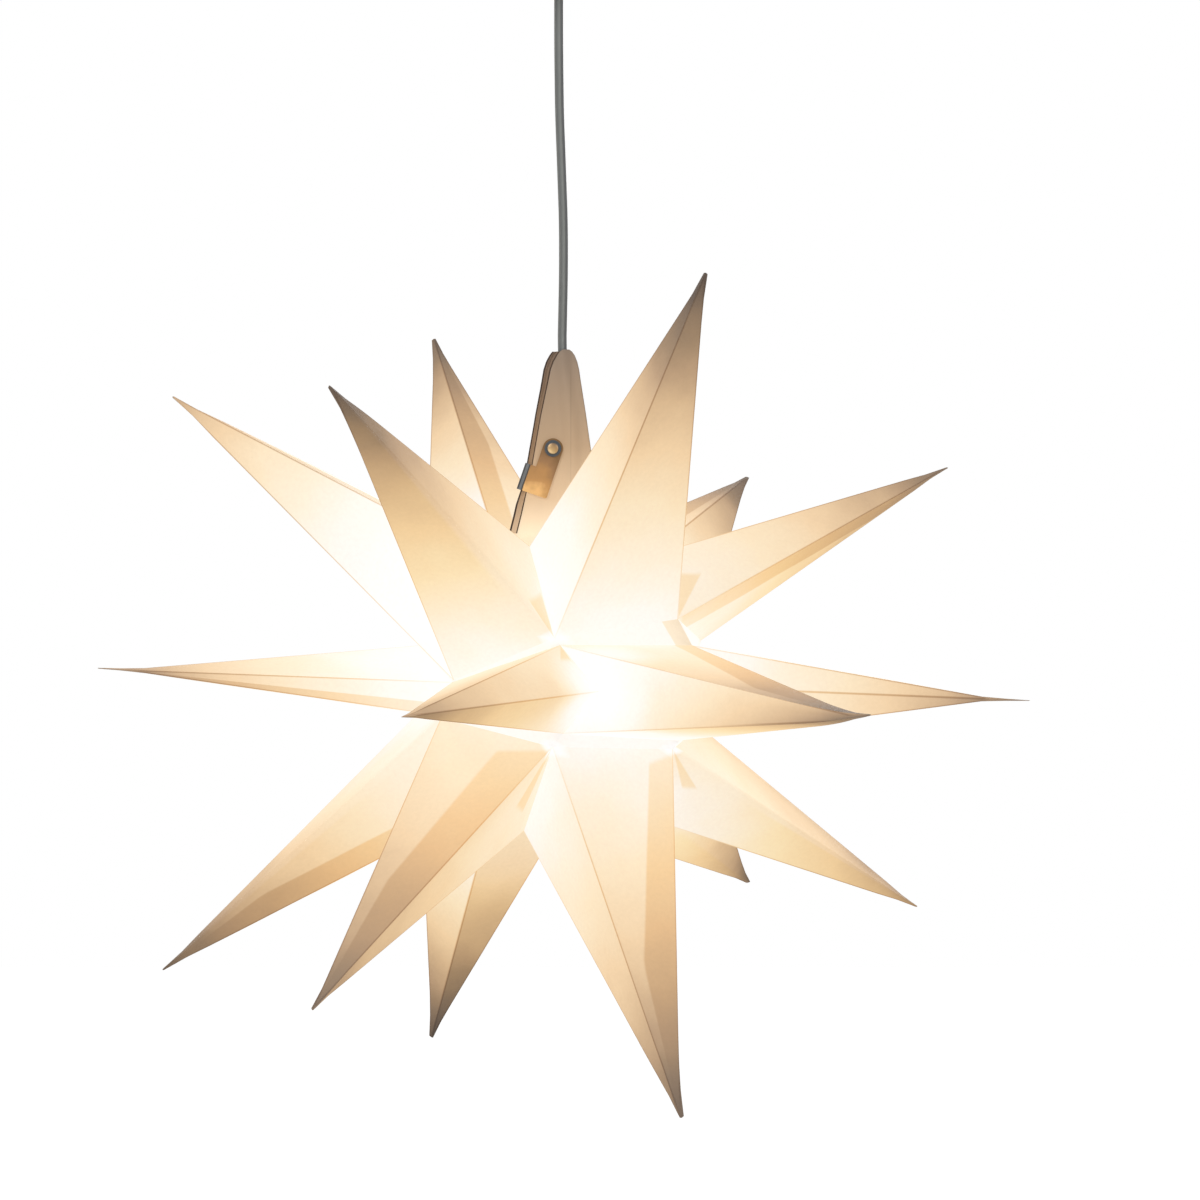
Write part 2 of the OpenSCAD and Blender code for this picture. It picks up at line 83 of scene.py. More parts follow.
# Corners of a sheet's three spikes, of the two bridges between them and of its
# bottom: 0 to 6 go down the valley on its left, 7 to 13 down the one on its
# right, and 14 is the middle of the star's bottom
SPIKES = ([0, 7, 8, 1], [2, 9, 10, 11, 4, 3], [5, 12, 13, 6])
BRIDGES = ([1, 8, 9, 2], [4, 11, 12, 5])
BOTTOM_CORNERS = (6, 13, 14)
# Rings that shape a spike, from its base to its pinched tip: share of its
# length, size beside the base, and how much of its depth the pinch leaves
PINCH_START = 0.86
RING_OUT = (0, PINCH_START, 0.93, 1)
RING_SIZE = (1, 0.14, 0.08, 0.03)
RING_LEFT = (1, 1, 0.8, 0.5)
# Where the closed end lies, as a share of the spike's length
TIP_ROUNDING = 1.003


def star_point(reach, turn, height):
    turn = math.radians(turn)
    lean = math.radians(STAR_LEAN)
    x, y = reach * math.sin(turn), -reach * math.cos(turn)
    return STAR_CENTRE + np.array([x * math.cos(lean) + height * math.sin(lean), y,
        height * math.cos(lean) - x * math.sin(lean)])


def tip_point(reach, turn, rise):
    rise = math.radians(rise)
    return star_point(reach * math.cos(rise), turn, reach * math.sin(rise))


def between(a, b, share):
    return a + (b - a) * share


def unit(vector):
    return vector / np.linalg.norm(vector)


def collar(sheet):
    return star_point(COLLAR_REACH, COLLAR_TURN[sheet], COLLAR_Z[sheet])


def valley(sheet):
    """Points down the valley on a sheet's right, from its collar to its foot."""
    upper_pit = star_point(UPPER_PIT_REACH[sheet], VALLEY_TURN[sheet], UPPER_PIT_Z[sheet])
    waist = star_point(WAIST_REACH[sheet], WAIST_TURN[sheet], WAIST_Z[sheet])
    lower_pit = star_point(LOWER_PIT_REACH[sheet], VALLEY_TURN[sheet], LOWER_PIT_Z[sheet])
    foot = star_point(FOOT_REACH, COLLAR_TURN[sheet], FOOT_Z[sheet])
    return [collar(sheet), upper_pit, between(upper_pit, waist, UPPER_SHOULDER[sheet]), waist,
        between(lower_pit, waist, LOWER_SHOULDER[sheet]), lower_pit, foot]


def sheet_base(sheet):
    return valley((sheet - 1) % len(SHEETS)) + valley(sheet) + [star_point(0, 0, BOTTOM_Z)]


def sheet_tip(sheet, which):
    if which == UPPER:
        return tip_point(OUTER_REACH, TOP_TURN[sheet], TOP_RISE[sheet])
    if which == MIDDLE:
        return tip_point(MID_REACH, MID_TURN[sheet], MID_RISE[sheet])
    return tip_point(OUTER_REACH, BOTTOM_TURN[sheet], BOTTOM_RISE[sheet])


# Meshes and objects

def link(name, mesh, material, node):
    piece = bpy.data.objects.new(name, mesh)
    bpy.context.scene.collection.objects.link(piece)
    mesh.materials.append(material)
    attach(piece, BODY)
    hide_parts(node)
    return piece


def mesh_of(name, points, faces):
    mesh = bpy.data.meshes.new(name)
    mesh.from_pydata([tuple(p) for p in points], [], faces)
    mesh.update()
    return mesh


def grid_faces(count, columns, start=0):
    """Faces between the rows of a grid that has this many points."""
    wide = columns + 1
    first = [start + row * wide + column for row in range(count // wide - 1) for column in range(columns)]
    return [(a, a + 1, a + 1 + wide, a + wide) for a in first]


def add_uv(mesh, name, pairs):
    """Writes a UV map from a pair of numbers for each point of the mesh."""
    layer = mesh.uv_layers.new(name=name)
    for loop in mesh.loops:
        layer.data[loop.index].uv = pairs[loop.vertex_index]


def smooth(mesh):
    mesh.polygons.foreach_set("use_smooth", [True] * len(mesh.polygons))


def thicken(piece, thickness):
    """Gives a card its thickness, inwards from the side that is seen."""
    card = piece.modifiers.new("card", "SOLIDIFY")
    card.thickness = thickness * MM
    card.offset = -1


class Nodes:
    """A material's nodes, with short calls to add and join them."""

    def __init__(self, name):
        self.material = bpy.data.materials.new(name)
        self.material.use_nodes = True
        self.tree = self.material.node_tree
        self.tree.nodes.clear()
        self.output = self.add("OutputMaterial")
        self.shader = self.add("BsdfPrincipled")
        self.join(self.shader.outputs[0], self.output.inputs["Surface"])

    def add(self, kind):
        return self.tree.nodes.new("ShaderNode" + kind)

    def join(self, source, target):
        self.tree.links.new(source, target)

    def put(self, target, value):
        """Gives an input a number, a colour or another node's output."""
        if isinstance(value, bpy.types.NodeSocket):
            self.join(value, target)
        elif isinstance(value, tuple):
            target.default_value = (*value, 1)
        else:
            target.default_value = value

    def position(self):
        return self.add("NewGeometry").outputs["Position"]

    def parts(self, vector):
        node = self.add("SeparateXYZ")
        self.join(vector, node.inputs[0])
        return node.outputs[0], node.outputs[1], node.outputs[2]

    def uv(self, name):
        node = self.add("UVMap")
        node.uv_map = name
        return self.parts(node.outputs[0])[:2]

    def math(self, kind, a, b=0.0, clamp=False):
        node = self.add("Math")
        node.operation = kind
        node.use_clamp = clamp
        self.put(node.inputs[0], a)
        self.put(node.inputs[1], b)
        return node.outputs[0]

    def product(self, first, *others):
        for other in others:
            first = self.math("MULTIPLY", first, other)
        return first

    def vector_math(self, kind, a, b=(0, 0, 0)):
        node = self.add("VectorMath")
        node.operation = kind
        self.join(a, node.inputs[0])
        node.inputs[1].default_value = b
        return node.outputs["Vector" if kind == "SUBTRACT" else "Value"]

    def step(self, value, low, high):
        """0 below low, 1 above high and smooth between; falls where low is above high."""
        node = self.add("MapRange")
        node.interpolation_type = "SMOOTHSTEP"
        self.put(node.inputs["Value"], value)
        falls = low > high
        node.inputs["From Min"].default_value = min(low, high)
        node.inputs["From Max"].default_value = max(low, high)
        node.inputs["To Min"].default_value = 1.0 if falls else 0.0
        node.inputs["To Max"].default_value = 0.0 if falls else 1.0
        return node.outputs[0]

    def noise(self, scale, detail, stretch=(1, 1, 1)):
        mapping = self.add("Mapping")
        mapping.inputs["Scale"].default_value = stretch
        self.join(self.position(), mapping.inputs["Vector"])
        node = self.add("TexNoise")
        node.inputs["Scale"].default_value = scale
        node.inputs["Detail"].default_value = detail
        self.join(mapping.outputs[0], node.inputs["Vector"])
        return node.outputs["Fac"]

    def ramp(self, value, stops):
        node = self.add("ValToRGB")
        elements = node.color_ramp.elements
        for place, colour in stops[2:]:
            elements.new(place)
        for element, (place, colour) in zip(elements, stops):
            element.position = place
            element.color = (*colour, 1)
        self.join(value, node.inputs[0])
        return node.outputs[0]

    def mix(self, factor, a, b, kind="MIX"):
        node = self.add("Mix")
        node.data_type = "RGBA"
        node.blend_type = kind
        self.put(node.inputs[0], factor)
        self.put(node.inputs[6], a)
        self.put(node.inputs[7], b)
        return node.outputs[2]

    def grey(self, value):
        node = self.add("CombineColor")
        for socket in node.inputs[:3]:
            self.join(value, socket)
        return node.outputs[0]

    def bump(self, height, strength, distance):
        node = self.add("Bump")
        node.inputs["Strength"].default_value = strength
        node.inputs["Distance"].default_value = distance
        self.join(height, node.inputs["Height"])
        self.join(node.outputs[0], self.shader.inputs["Normal"])

    def surface(self, **values):
        for name, value in values.items():
            title = name.replace("_", " ").title().replace("Ior", "IOR")
            self.put(self.shader.inputs[title], value)


def toned(colour, share):
    return tuple(part * share for part in colour)


# Where a noise turns into soft patches
SOFT_PATCHES = (0.3, 0.7)
WORN_PATCHES = (0.35, 0.7)
CLOUD_PATCHES = (0.35, 0.65)

# The card's glow by distance from the bulb, in millimetres
BULB_CENTRE = STAR_CENTRE + np.array([0, 0, -10])
UNLIT_PAPER = (0.135, 0.112, 0.092)
GLOW = [(80, (0.92, 0.91, 0.90)), (121, (0.91, 0.86, 0.80)), (149, (0.89, 0.78, 0.62)),
    (179, (0.86, 0.70, 0.48)), (211, (0.78, 0.56, 0.33)), (239, (0.58, 0.39, 0.215)),
    (260, (0.38, 0.24, 0.13)), (274, (0.25, 0.155, 0.08)), (290, (0.13, 0.08, 0.045)),
    (310, (0.03, 0.015, 0.01)), (340, (0, 0, 0))]
# Painted shade of a tab and of a fold's line: what they leave of that light, by the same distance
TAB_SHADE_TINTS = [(90, (0.97, 0.87, 0.71)), (150, (0.93, 0.77, 0.56)), (205, (0.79, 0.69, 0.56)),
    (290, (0.78, 0.74, 0.70))]
CREASE_SHADE_TINTS = [(90, (0.97, 0.85, 0.68)), (160, (0.84, 0.66, 0.46)), (220, (0.62, 0.51, 0.4))]
FLAP_SHADOW_TINT = (0.97, 0.85, 0.67)
DOWN_SHADE_TINT = (1.0, 0.96, 0.8)
# Soft edges of the marks on the card, from where a mark is out to where it is
# full. The tab's is a share of its width, and the others are in millimetres.
TAB_EDGE = (1.05, 0.95)
TAB_START = (-2, 3)
FLAP_EDGE = (-0.4, 0.8)
FLAP_END = (-1, 4)
CREASE_EDGE = (1.0, 0.2)
# Distance from the bulb, in metres, where tabs fade and the painted shade of
# faces that look down begins, and how far down a face looks for it
TAB_FADE = (0.31, 0.24)
DOWN_REACH = (0.12, 0.17)
DOWN_NORMAL = (-0.3, -0.8)
# The card's clouds shift its glow by this many millimetres, and its grain
# changes it by this share
CLOUD_DEPTH = 36
GRAIN_DEPTH = 0.12


def by_reach(nodes, reach, colours):
    """Colour that changes with a distance in metres, from stops in millimetres."""
    near, far = colours[0][0], colours[-1][0]
    along = nodes.math("SUBTRACT", reach, near * MM)
    along = nodes.math("DIVIDE", along, (far - near) * MM, clamp=True)
    return nodes.ramp(along, [((stop - near) / (far - near), colour) for stop, colour in colours])


def facing_down(nodes):
    """1 where the surface looks down, 0 where it looks up or level."""
    normal = nodes.add("NewGeometry").outputs["Normal"]
    return nodes.step(nodes.parts(normal)[2], *DOWN_NORMAL)


def star_paper():
    """The card. Its UV maps hold lengths in millimetres, apart from shares of a line or a tab."""
    nodes = Nodes("star_paper")
    from_left, from_right = nodes.uv("folds")
    left_line, right_line = nodes.uv("lines")
    across_tab, past_tab_start = nodes.uv("tabs")
    past_flap_low, below_flap_high = nodes.uv("flaps")
    shade, before_flap_end = nodes.uv("shades")
    cloud = nodes.noise(scale=26, detail=4)
    grain = nodes.noise(scale=420, detail=3)

    distance = nodes.vector_math("DISTANCE", nodes.position(), tuple(BULB_CENTRE * MM))
    shift = nodes.product(nodes.math("SUBTRACT", cloud, 0.5), CLOUD_DEPTH * MM)
    reach = nodes.math("ADD", nodes.math("ADD", distance, nodes.product(shade, MM)), shift)
    light = by_reach(nodes, reach, GLOW)

    # Painted shade: a band where the tab's doubled card holds back the bulb's light
    tab = nodes.product(nodes.step(across_tab, *TAB_EDGE), nodes.step(past_tab_start, *TAB_START),
        nodes.step(reach, *TAB_FADE))
    # Painted shadow of a loose corner of the next sheet behind the face
    flap_shadow = nodes.product(nodes.step(past_flap_low, *FLAP_EDGE), nodes.step(below_flap_high, *FLAP_EDGE),
        nodes.step(before_flap_end, *FLAP_END))
    # Painted shade along the folds' lines, in the card's light and in its colour
    left_crease_shade = nodes.product(nodes.step(from_left, *CREASE_EDGE), left_line)
    right_crease_shade = nodes.product(nodes.step(from_right, *CREASE_EDGE), right_line)
    crease_shade = nodes.math("MAXIMUM", left_crease_shade, right_crease_shade)
    # Painted shade: faces that look down take a warmer tint, as the room's lamps light them less
    down = nodes.product(facing_down(nodes), nodes.step(distance, *DOWN_REACH))
    speckle = nodes.math("ADD", nodes.product(grain, GRAIN_DEPTH), 1 - GRAIN_DEPTH / 2)

    light = nodes.mix(tab, light, by_reach(nodes, distance, TAB_SHADE_TINTS), "MULTIPLY")
    light = nodes.mix(flap_shadow, light, FLAP_SHADOW_TINT, "MULTIPLY")
    light = nodes.mix(crease_shade, light, by_reach(nodes, distance, CREASE_SHADE_TINTS), "MULTIPLY")
    light = nodes.mix(down, light, DOWN_SHADE_TINT, "MULTIPLY")
    light = nodes.mix(1.0, light, nodes.grey(speckle), "MULTIPLY")

    card = nodes.mix(nodes.step(cloud, *CLOUD_PATCHES), UNLIT_PAPER, toned(UNLIT_PAPER, 1.15))
    # Painted shade: the card's colour is darker along the folds' lines
    card = nodes.mix(nodes.product(crease_shade, 0.5), card, toned(UNLIT_PAPER, 0.6))
    nodes.surface(base_color=card, roughness=0.75, specular_ior_level=0.25, emission_color=light,
        emission_strength=1.0)
    nodes.bump(grain, strength=0.15, distance=0.4 * MM)
    return nodes.material


# How much less light each face gets at its base and at its tip, as millimetres
# farther from the bulb. Faces are counted clockwise round a spike from its top.
EVEN = (10, -5)
FACE_SHADE = {
    (FRONT_LEFT, UPPER): [EVEN, (45, 0), (30, -10), EVEN],
    (FRONT_LEFT, MIDDLE): [(75, -40), (65, -25), (60, -8), EVEN, EVEN, EVEN],
    (FRONT_LEFT, LOWER): [(75, -8), (80, -35), EVEN, EVEN],
    (FRONT_RIGHT, UPPER): [EVEN, EVEN, (18, -4), (-17, 12)],
    (FRONT_RIGHT, MIDDLE): [(48, 25), EVEN, EVEN, (10, 5), (25, 14), (-22, -18)],
    (FRONT_RIGHT, LOWER): [(40, 8), EVEN, EVEN, (30, -5)],
    (RIGHT, UPPER): [EVEN, EVEN, (42, -28), (40, -18)],
    (RIGHT, MIDDLE): [EVEN, EVEN, EVEN, EVEN, (15, 5), (2, -4)],
    (RIGHT, LOWER): [(90, -25), EVEN, EVEN, (42, -45)],
    (BACK_RIGHT, UPPER): [(10, -6), EVEN, EVEN, (22, -5)],
    (BACK_RIGHT, LOWER): [EVEN, EVEN, (0, -30), (30, -2)],
    (BACK_LEFT, UPPER): [(35, -10), (-22, -18), EVEN, EVEN],
    (BACK_LEFT, LOWER): [EVEN, (0, 10), (92, 15), EVEN],
    (LEFT, UPPER): [(-90, -50), (-65, -64), EVEN, EVEN],
    (LEFT, MIDDLE): [(-2, -18), (0, 0), (0, 5), EVEN, EVEN, EVEN],
    (LEFT, LOWER): [(20, 5), (65, -5), (35, 0), EVEN],
}
# Which fold of each sheet's upper, middle and lower spike is the glued one. Its
# tab shows through the face before that fold as a band of painted shade.
GLUED_FOLDS = [[1, 1, 1], [1, 1, 1], [3, 1, 1], [1, 1, 1], [1, 1, 1], [1, 3, 2]]
NO_TAB_SEEN = [(FRONT_LEFT, MIDDLE), (RIGHT, MIDDLE), (RIGHT, LOWER), (BACK_RIGHT, LOWER)]
# Widths of the tabs at the base and at the tip, for most of them and for others
TAB_WIDTH = (16, 16)
TAB_WIDTHS = {(FRONT_LEFT, LOWER): (28, 18), (FRONT_RIGHT, UPPER): (22, 5),
    (FRONT_RIGHT, MIDDLE): (12, 34), (FRONT_RIGHT, LOWER): (16, 26), (RIGHT, UPPER): (30, 20)}
NARROWEST_TAB = 0.5
BRIDGE_TAB = 11
# A tab begins this far from the base and slants, and takes at most this share of
# a narrow face. One of them runs on into the bridge above its spike.
TAB_BEGIN = 3
TAB_SLANT = 0.6
TAB_OF_NARROW_FACE = 0.66
TAB_RUNS_ON = (FRONT_RIGHT, MIDDLE)
# Folds too flat to show a line
SOFT_FOLDS = {(FRONT_LEFT, UPPER): 2, (FRONT_RIGHT, MIDDLE): 5, (RIGHT, LOWER): 0,
    (BACK_RIGHT, LOWER): 3, (LEFT, MIDDLE): 2, (LEFT, LOWER): 1}
# How strongly a fold's line of painted shade shows: on the outline, and elsewhere
# at its start, with the share of the spike's length that it takes to grow by 1
OUTLINE_LINE = 0.85
LINE_START = 0.3
LINE_GROWTH = 0.35
# Painted shadows of loose corners of the next sheet that show through a face: which
# face, and the three corners of the patch, each as a share across the face and along it
FLAPS = {
    (FRONT_LEFT, UPPER): (1, (1, 0), (0.85, 0.11), (0.52, 0.01)),
    (FRONT_LEFT, MIDDLE): (1, (0, 0), (0.28, 0.07), (0.35, 0.01)),
    (FRONT_LEFT, LOWER): (1, (0, 0), (0.4, 0.12), (0.65, 0.06)),
    (RIGHT, UPPER): (3, (0, 0), (0.59, 0.11), (0.45, 0.16)),
    (RIGHT, LOWER): (3, (1, 0), (0.6, 0.11), (0.7, 0.15)),
}
# Where the bulb shows brightest through the card, with how far round it: beside
# the front waist, and at the tight pits round it
HOT_SPOTS = [(valley(FRONT_LEFT)[WAIST] + np.array([4, 0, -3]), 42), (valley(FRONT_LEFT)[UPPER_PIT], 6),
    (valley(FRONT_LEFT)[LOWER_PIT], 6), (valley(FRONT_RIGHT)[LOWER_PIT], 6)]
HOT_SHADE = -60
BRIDGE_SHADE = 20
# Rows and columns of the grids
FACE_ROWS = 28
TIP_ROWS = 8
FACE_COLUMNS = 8
BRIDGE_ROWS = 2
# How far a face swells, from which share of its length on, and the scale of the
# waves in that swelling, for a millimetre
PUFF = 0.7
PUFF_START = 0.08
WAVE_SCALE = 0.02
# Pinched tips: how slim the last part is, and how far and from where it is bent
TIP_SLIM = {(RIGHT, MIDDLE): 0.35, (LEFT, MIDDLE): 0.5}
TIP_BEND = {(FRONT_LEFT, UPPER): (-2, 0, 0), (FRONT_RIGHT, MIDDLE): (0, 0, 3.5),
    (FRONT_RIGHT, LOWER): (1, 0, 0.5)}
BEND_START = 0.75
CARD_T = 0.35
MERGE_GAP = 0.02
# A length that is past every mark, and what a point without marks tells its
# material
FAR_AWAY = 200
PLAIN_MARK = {"folds": (FAR_AWAY, FAR_AWAY), "lines": (0, 0), "tabs": (2, 0),
    "flaps": (-FAR_AWAY, -FAR_AWAY), "shades": (0, 0)}


def pinched(offset, axis, left):
    """Offset from a spike's axis with only a share left of its part across the flat pinch."""
    across = np.cross(axis, [0, 0, 1])
    flat_way = unit(np.cross(across, axis))
    return offset - (1 - left) * (offset @ flat_way) * flat_way


class Spike:
    """One spike of a sheet: its corners, tip, faces and folds."""

    def __init__(self, sheet, which):
        base = sheet_base(sheet)
        self.key = (sheet, which)
        self.corners = [base[corner] for corner in SPIKES[which]]
        self.count = len(self.corners)
        self.tip = sheet_tip(sheet, which)
        self.middle = sum(self.corners) / self.count
        self.bend = np.array(TIP_BEND.get(self.key, (0, 0, 0)))
        self.slim = TIP_SLIM.get(self.key, 1)
        self.glued = GLUED_FOLDS[sheet][which]
        self.soft = SOFT_FOLDS.get(self.key)
        self.tab_widths = TAB_WIDTHS.get(self.key, TAB_WIDTH)
        self.shades = FACE_SHADE.get(self.key, [EVEN] * self.count)

    def ring_point(self, corner, ring):
        size = RING_SIZE[ring] * (self.slim if ring else 1)
        axis = unit(self.tip - self.middle)
        return (self.middle + RING_OUT[ring] * (self.tip - self.middle)
            + size * pinched(corner - self.middle, axis, RING_LEFT[ring]))

    def fold_point(self, corner, out):
        """Point of the fold from a base corner to the tip, at a share of its length. From 1 to 2
        it goes on from the last ring to the rounded end."""
        if out >= 1:
            end = self.middle + TIP_ROUNDING * (self.tip - self.middle)
            last = self.ring_point(corner, len(RING_OUT) - 1)
            return last + (end - last) * (out - 1) + self.bend
        ring = max(k for k in range(len(RING_OUT) - 1) if RING_OUT[k] <= out)
        share = (out - RING_OUT[ring]) / (RING_OUT[ring + 1] - RING_OUT[ring])
        point = between(self.ring_point(corner, ring), self.ring_point(corner, ring + 1), share)
        return point + self.bend * max(0, (out - BEND_START) / (1 - BEND_START)) ** 2

    def face_normal(self, face):
        left, right = self.corners[face % self.count], self.corners[(face + 1) % self.count]
        normal = unit(np.cross(self.tip - left, right - left))
        return normal if normal @ ((left + right) / 2 - self.middle) > 0 else -normal

    def shade(self, face, across, out):
        """Shade at a share across a face. It runs evenly into the next face at a soft fold."""
        own = between(*self.shades[face], out)
        if self.soft == face:
            return between(own, (own + between(*self.shades[face - 1], out)) / 2, 1 - across)
        if self.soft == (face + 1) % self.count:
            return between(own, (own + between(*self.shades[self.soft], out)) / 2, across)
        return own

    def line(self, fold, out):
        """How strongly a fold's line of painted shade shows. It fades towards the base inside the
        outline.
        """
        if self.soft == fold % self.count:
            return 0
        outline = self.face_normal(fold - 1)[1] * self.face_normal(fold)[1] < 0
        return max(OUTLINE_LINE if outline else 0, min(1, LINE_START + out / LINE_GROWTH))


def line_gap(point, start, end):
    """How far a point lies from a line, and how far along it."""
    way = unit(end - start)
    offset = point - start
    return np.linalg.norm(offset - (offset @ way) * way), offset @ way


def inside_by(point, a, b, c):
    """How far a point lies inside a triangle's side from a to b, beside its corner c."""
    way = unit(b - a)
    inward = unit((c - a) - ((c - a) @ way) * way)
    return (point - a) @ inward


def with_hot_spots(shade, point):
    """Shade of a point with the bright spots of the bulb."""
    for spot, reach in HOT_SPOTS:
        shade = between(shade, HOT_SHADE, max(0, 1 - np.linalg.norm(point - spot) / reach))
    return shade


def row_places():
    """Shares of a fold's length for a face's rows, with the last ring and the closed end."""
    body = [PINCH_START * i / FACE_ROWS for i in range(FACE_ROWS)]
    tip = [PINCH_START + (1 - PINCH_START) * i / TIP_ROWS for i in range(TIP_ROWS)]
    return body + tip + [1, 2]


def face_grid(spike, face):
    """Points of one face and, for each, what the material has to know."""
    left, right = spike.corners[face], spike.corners[(face + 1) % spike.count]
    left_end, right_end = spike.fold_point(left, PINCH_START), spike.fold_point(right, PINCH_START)
    normal = spike.face_normal(face)
    has_tab = face == spike.glued - 1 and spike.key not in NO_TAB_SEEN
    tab_begin = -FAR_AWAY if spike.key == TAB_RUNS_ON else TAB_BEGIN
    flap_face, *flap_corners = FLAPS.get(spike.key, (None,))
    flap_shadow = [between(between(left, right, across), spike.tip, out) for across, out in flap_corners]
    points, marks = [], []
    for out in row_places():
        a, b = spike.fold_point(left, out), spike.fold_point(right, out)
        on_face = min(out, 1)
        widest = TAB_OF_NARROW_FACE * np.linalg.norm(b - a)
        tab_width = max(NARROWEST_TAB, min(between(*spike.tab_widths, on_face), widest))
        for column in range(FACE_COLUMNS + 1):
            across = column / FACE_COLUMNS
            point = between(a, b, across)
            from_left = line_gap(point, left, left_end)[0]
            from_right, right_along = line_gap(point, right, right_end)
            mark = dict(PLAIN_MARK)
            mark["folds"] = (from_left, from_right)
            mark["lines"] = (spike.line(face, on_face), spike.line(face + 1, on_face))
            if has_tab:
                mark["tabs"] = (from_right / tab_width, right_along - TAB_SLANT * from_right - tab_begin)
            shade = with_hot_spots(spike.shade(face, across, on_face), point)
            mark["shades"] = (shade, 0)
            if flap_face == face:
                mark["flaps"] = (inside_by(point, flap_shadow[0], flap_shadow[1], flap_shadow[2]),
                    inside_by(point, flap_shadow[2], flap_shadow[0], flap_shadow[1]))
                mark["shades"] = (shade, inside_by(point, flap_shadow[1], flap_shadow[2], flap_shadow[0]))
            swell = PUFF * math.sin(math.pi * across) * max(0, 1 - out) * min(1, out / PUFF_START)
            wave = noise.noise(Vector(point) * WAVE_SCALE) * swell
            points.append(point + normal * (swell + wave))
            marks.append(mark)
    return points, marks


def bridge_grid(corners, shows_tab):
    """The narrow strip between two spikes."""
    top_left, top_right, low_right, low_left = corners
    points, marks = [], []
    for row in range(BRIDGE_ROWS + 1):
        a = between(top_left, low_left, row / BRIDGE_ROWS)
        b = between(top_right, low_right, row / BRIDGE_ROWS)
        for column in range(FACE_COLUMNS + 1):
            across = column / FACE_COLUMNS
            point = between(a, b, across)
            mark = dict(PLAIN_MARK)
            mark["shades"] = (with_hot_spots(BRIDGE_SHADE, point), 0)
            if shows_tab:
                mark["tabs"] = ((1 - across) * np.linalg.norm(b - a) / BRIDGE_TAB, FAR_AWAY)
            points.append(point)
            marks.append(mark)
    return points, marks


class SheetMesh:
    """Gathers a sheet's grids, and remembers which flat part of it each face is on."""

    def __init__(self):
        self.points, self.marks, self.faces, self.parts = [], [], [], []

    def add_grid(self, grid, part):
        points, marks = grid
        faces = grid_faces(len(points), FACE_COLUMNS, len(self.points))
        self.points += points
        self.marks += marks
        self.faces += faces
        self.parts += [part] * len(faces)

    def add_triangle(self, corners, part):
        start = len(self.points)
        self.points += corners
        self.marks += [PLAIN_MARK] * 3
        self.faces.append((start, start + 1, start + 2))
        self.parts.append(part)

    def build(self, name):
        mesh = mesh_of(name, [p * MM for p in self.points], self.faces)
        for key in PLAIN_MARK:
            add_uv(mesh, key, [mark[key] for mark in self.marks])
        form = bmesh.new()
        form.from_mesh(mesh)
        part_of = {face: self.parts[i] for i, face in enumerate(form.faces)}
        bmesh.ops.remove_doubles(form, verts=form.verts, dist=MERGE_GAP * MM)
        for face in form.faces:
            face.smooth = True
        for edge in form.edges:
            edge.smooth = len({part_of.get(face) for face in edge.link_faces}) < 2
        bmesh.ops.recalc_face_normals(form, faces=form.faces)
        form.to_mesh(mesh)
        form.free()
        return mesh


def star_sheet(sheet, material):
    gathered = SheetMesh()
    base = sheet_base(sheet)
    for which in (UPPER, MIDDLE, LOWER):
        spike = Spike(sheet, which)
        for face in range(spike.count):
            part = (face - 1) % spike.count if face == spike.soft else face
            gathered.add_grid(face_grid(spike, face), (which, part))
    for place, corners in enumerate(BRIDGES):
        above_long_tab = TAB_RUNS_ON[0] == sheet and place == 0
        grid = bridge_grid([base[corner] for corner in corners], above_long_tab)
        gathered.add_grid(grid, ("bridge", place))
    gathered.add_triangle([base[corner] for corner in BOTTOM_CORNERS], "bottom")
    name = "star_" + SHEETS[sheet]
    piece = link(name, gathered.build(name), material, SHEETS[sheet])
    thicken(piece, CARD_T)


# The hanging cable. Its route is as part.scad has it: offset to the right, and
# height above the neck's base.
HANG_DROP = 475
CUP_DEPTH = 28
CUP_GLAND_H = 10
HOLDER_TOP = 74
HOLDER_GLAND_H = 10
NECK_ABOVE_COLLAR = 8
NECK_BASE = COLLAR_Z[FRONT_LEFT] + NECK_ABOVE_COLLAR
CABLE_D = 5.6
CABLE_R = CABLE_D / 2
CABLE_TOP = HANG_DROP - CUP_DEPTH - CUP_GLAND_H - NECK_BASE
CABLE_END = HOLDER_TOP + HOLDER_GLAND_H - NECK_BASE
CABLE_ROUTE = [(-3, CABLE_TOP), (-3, 302), (-2.5, 262), (-1, 222), (0, 192), (0, 162),
    (-0.5, 137), (-1, 114), (0, 102), (2, 87), (4.5, 70), (5.5, 54), (5.5, 40), (4.5, 24),
    (2.5, 8), (0.5, -4), (0, CABLE_END)]
CABLE_STEPS = 90
# The route is smoothed over this much height, apart from both ends
CABLE_SMOOTHING = 9
CABLE_PLAIN_END = 12
# The two cores across the cable, half the angle that each one's outline takes,
# and how far the cable is turned
CORE_R = 1.55
CORE_APART = 2 * (CABLE_R - CORE_R)
CORE_SWEEP = 122
CORE_POINTS = 14
CABLE_TURN = -8
# Grey across the cable from left to right, with painted shade in its groove and on its
# right side, and a painted highlight down its right core
CABLE_GREYS = [(0, (0.18, 0.185, 0.175)), (0.18, (0.17, 0.175, 0.165)), (0.26, (0.095, 0.1, 0.1)),
    (0.36, (0.15, 0.16, 0.155)), (0.6, (0.2, 0.21, 0.2)), (0.72, (0.15, 0.155, 0.15)),
    (0.8, (0.075, 0.08, 0.08)), (1, (0.1, 0.105, 0.105))]


def cable_x(rise):
    upward = CABLE_ROUTE[::-1]
    return float(np.interp(rise, [height for x, height in upward], [x for x, height in upward]))


def smooth_cable_x(rise):
    return sum(cable_x(rise + shift) for shift in (-CABLE_SMOOTHING, 0, CABLE_SMOOTHING)) / 3


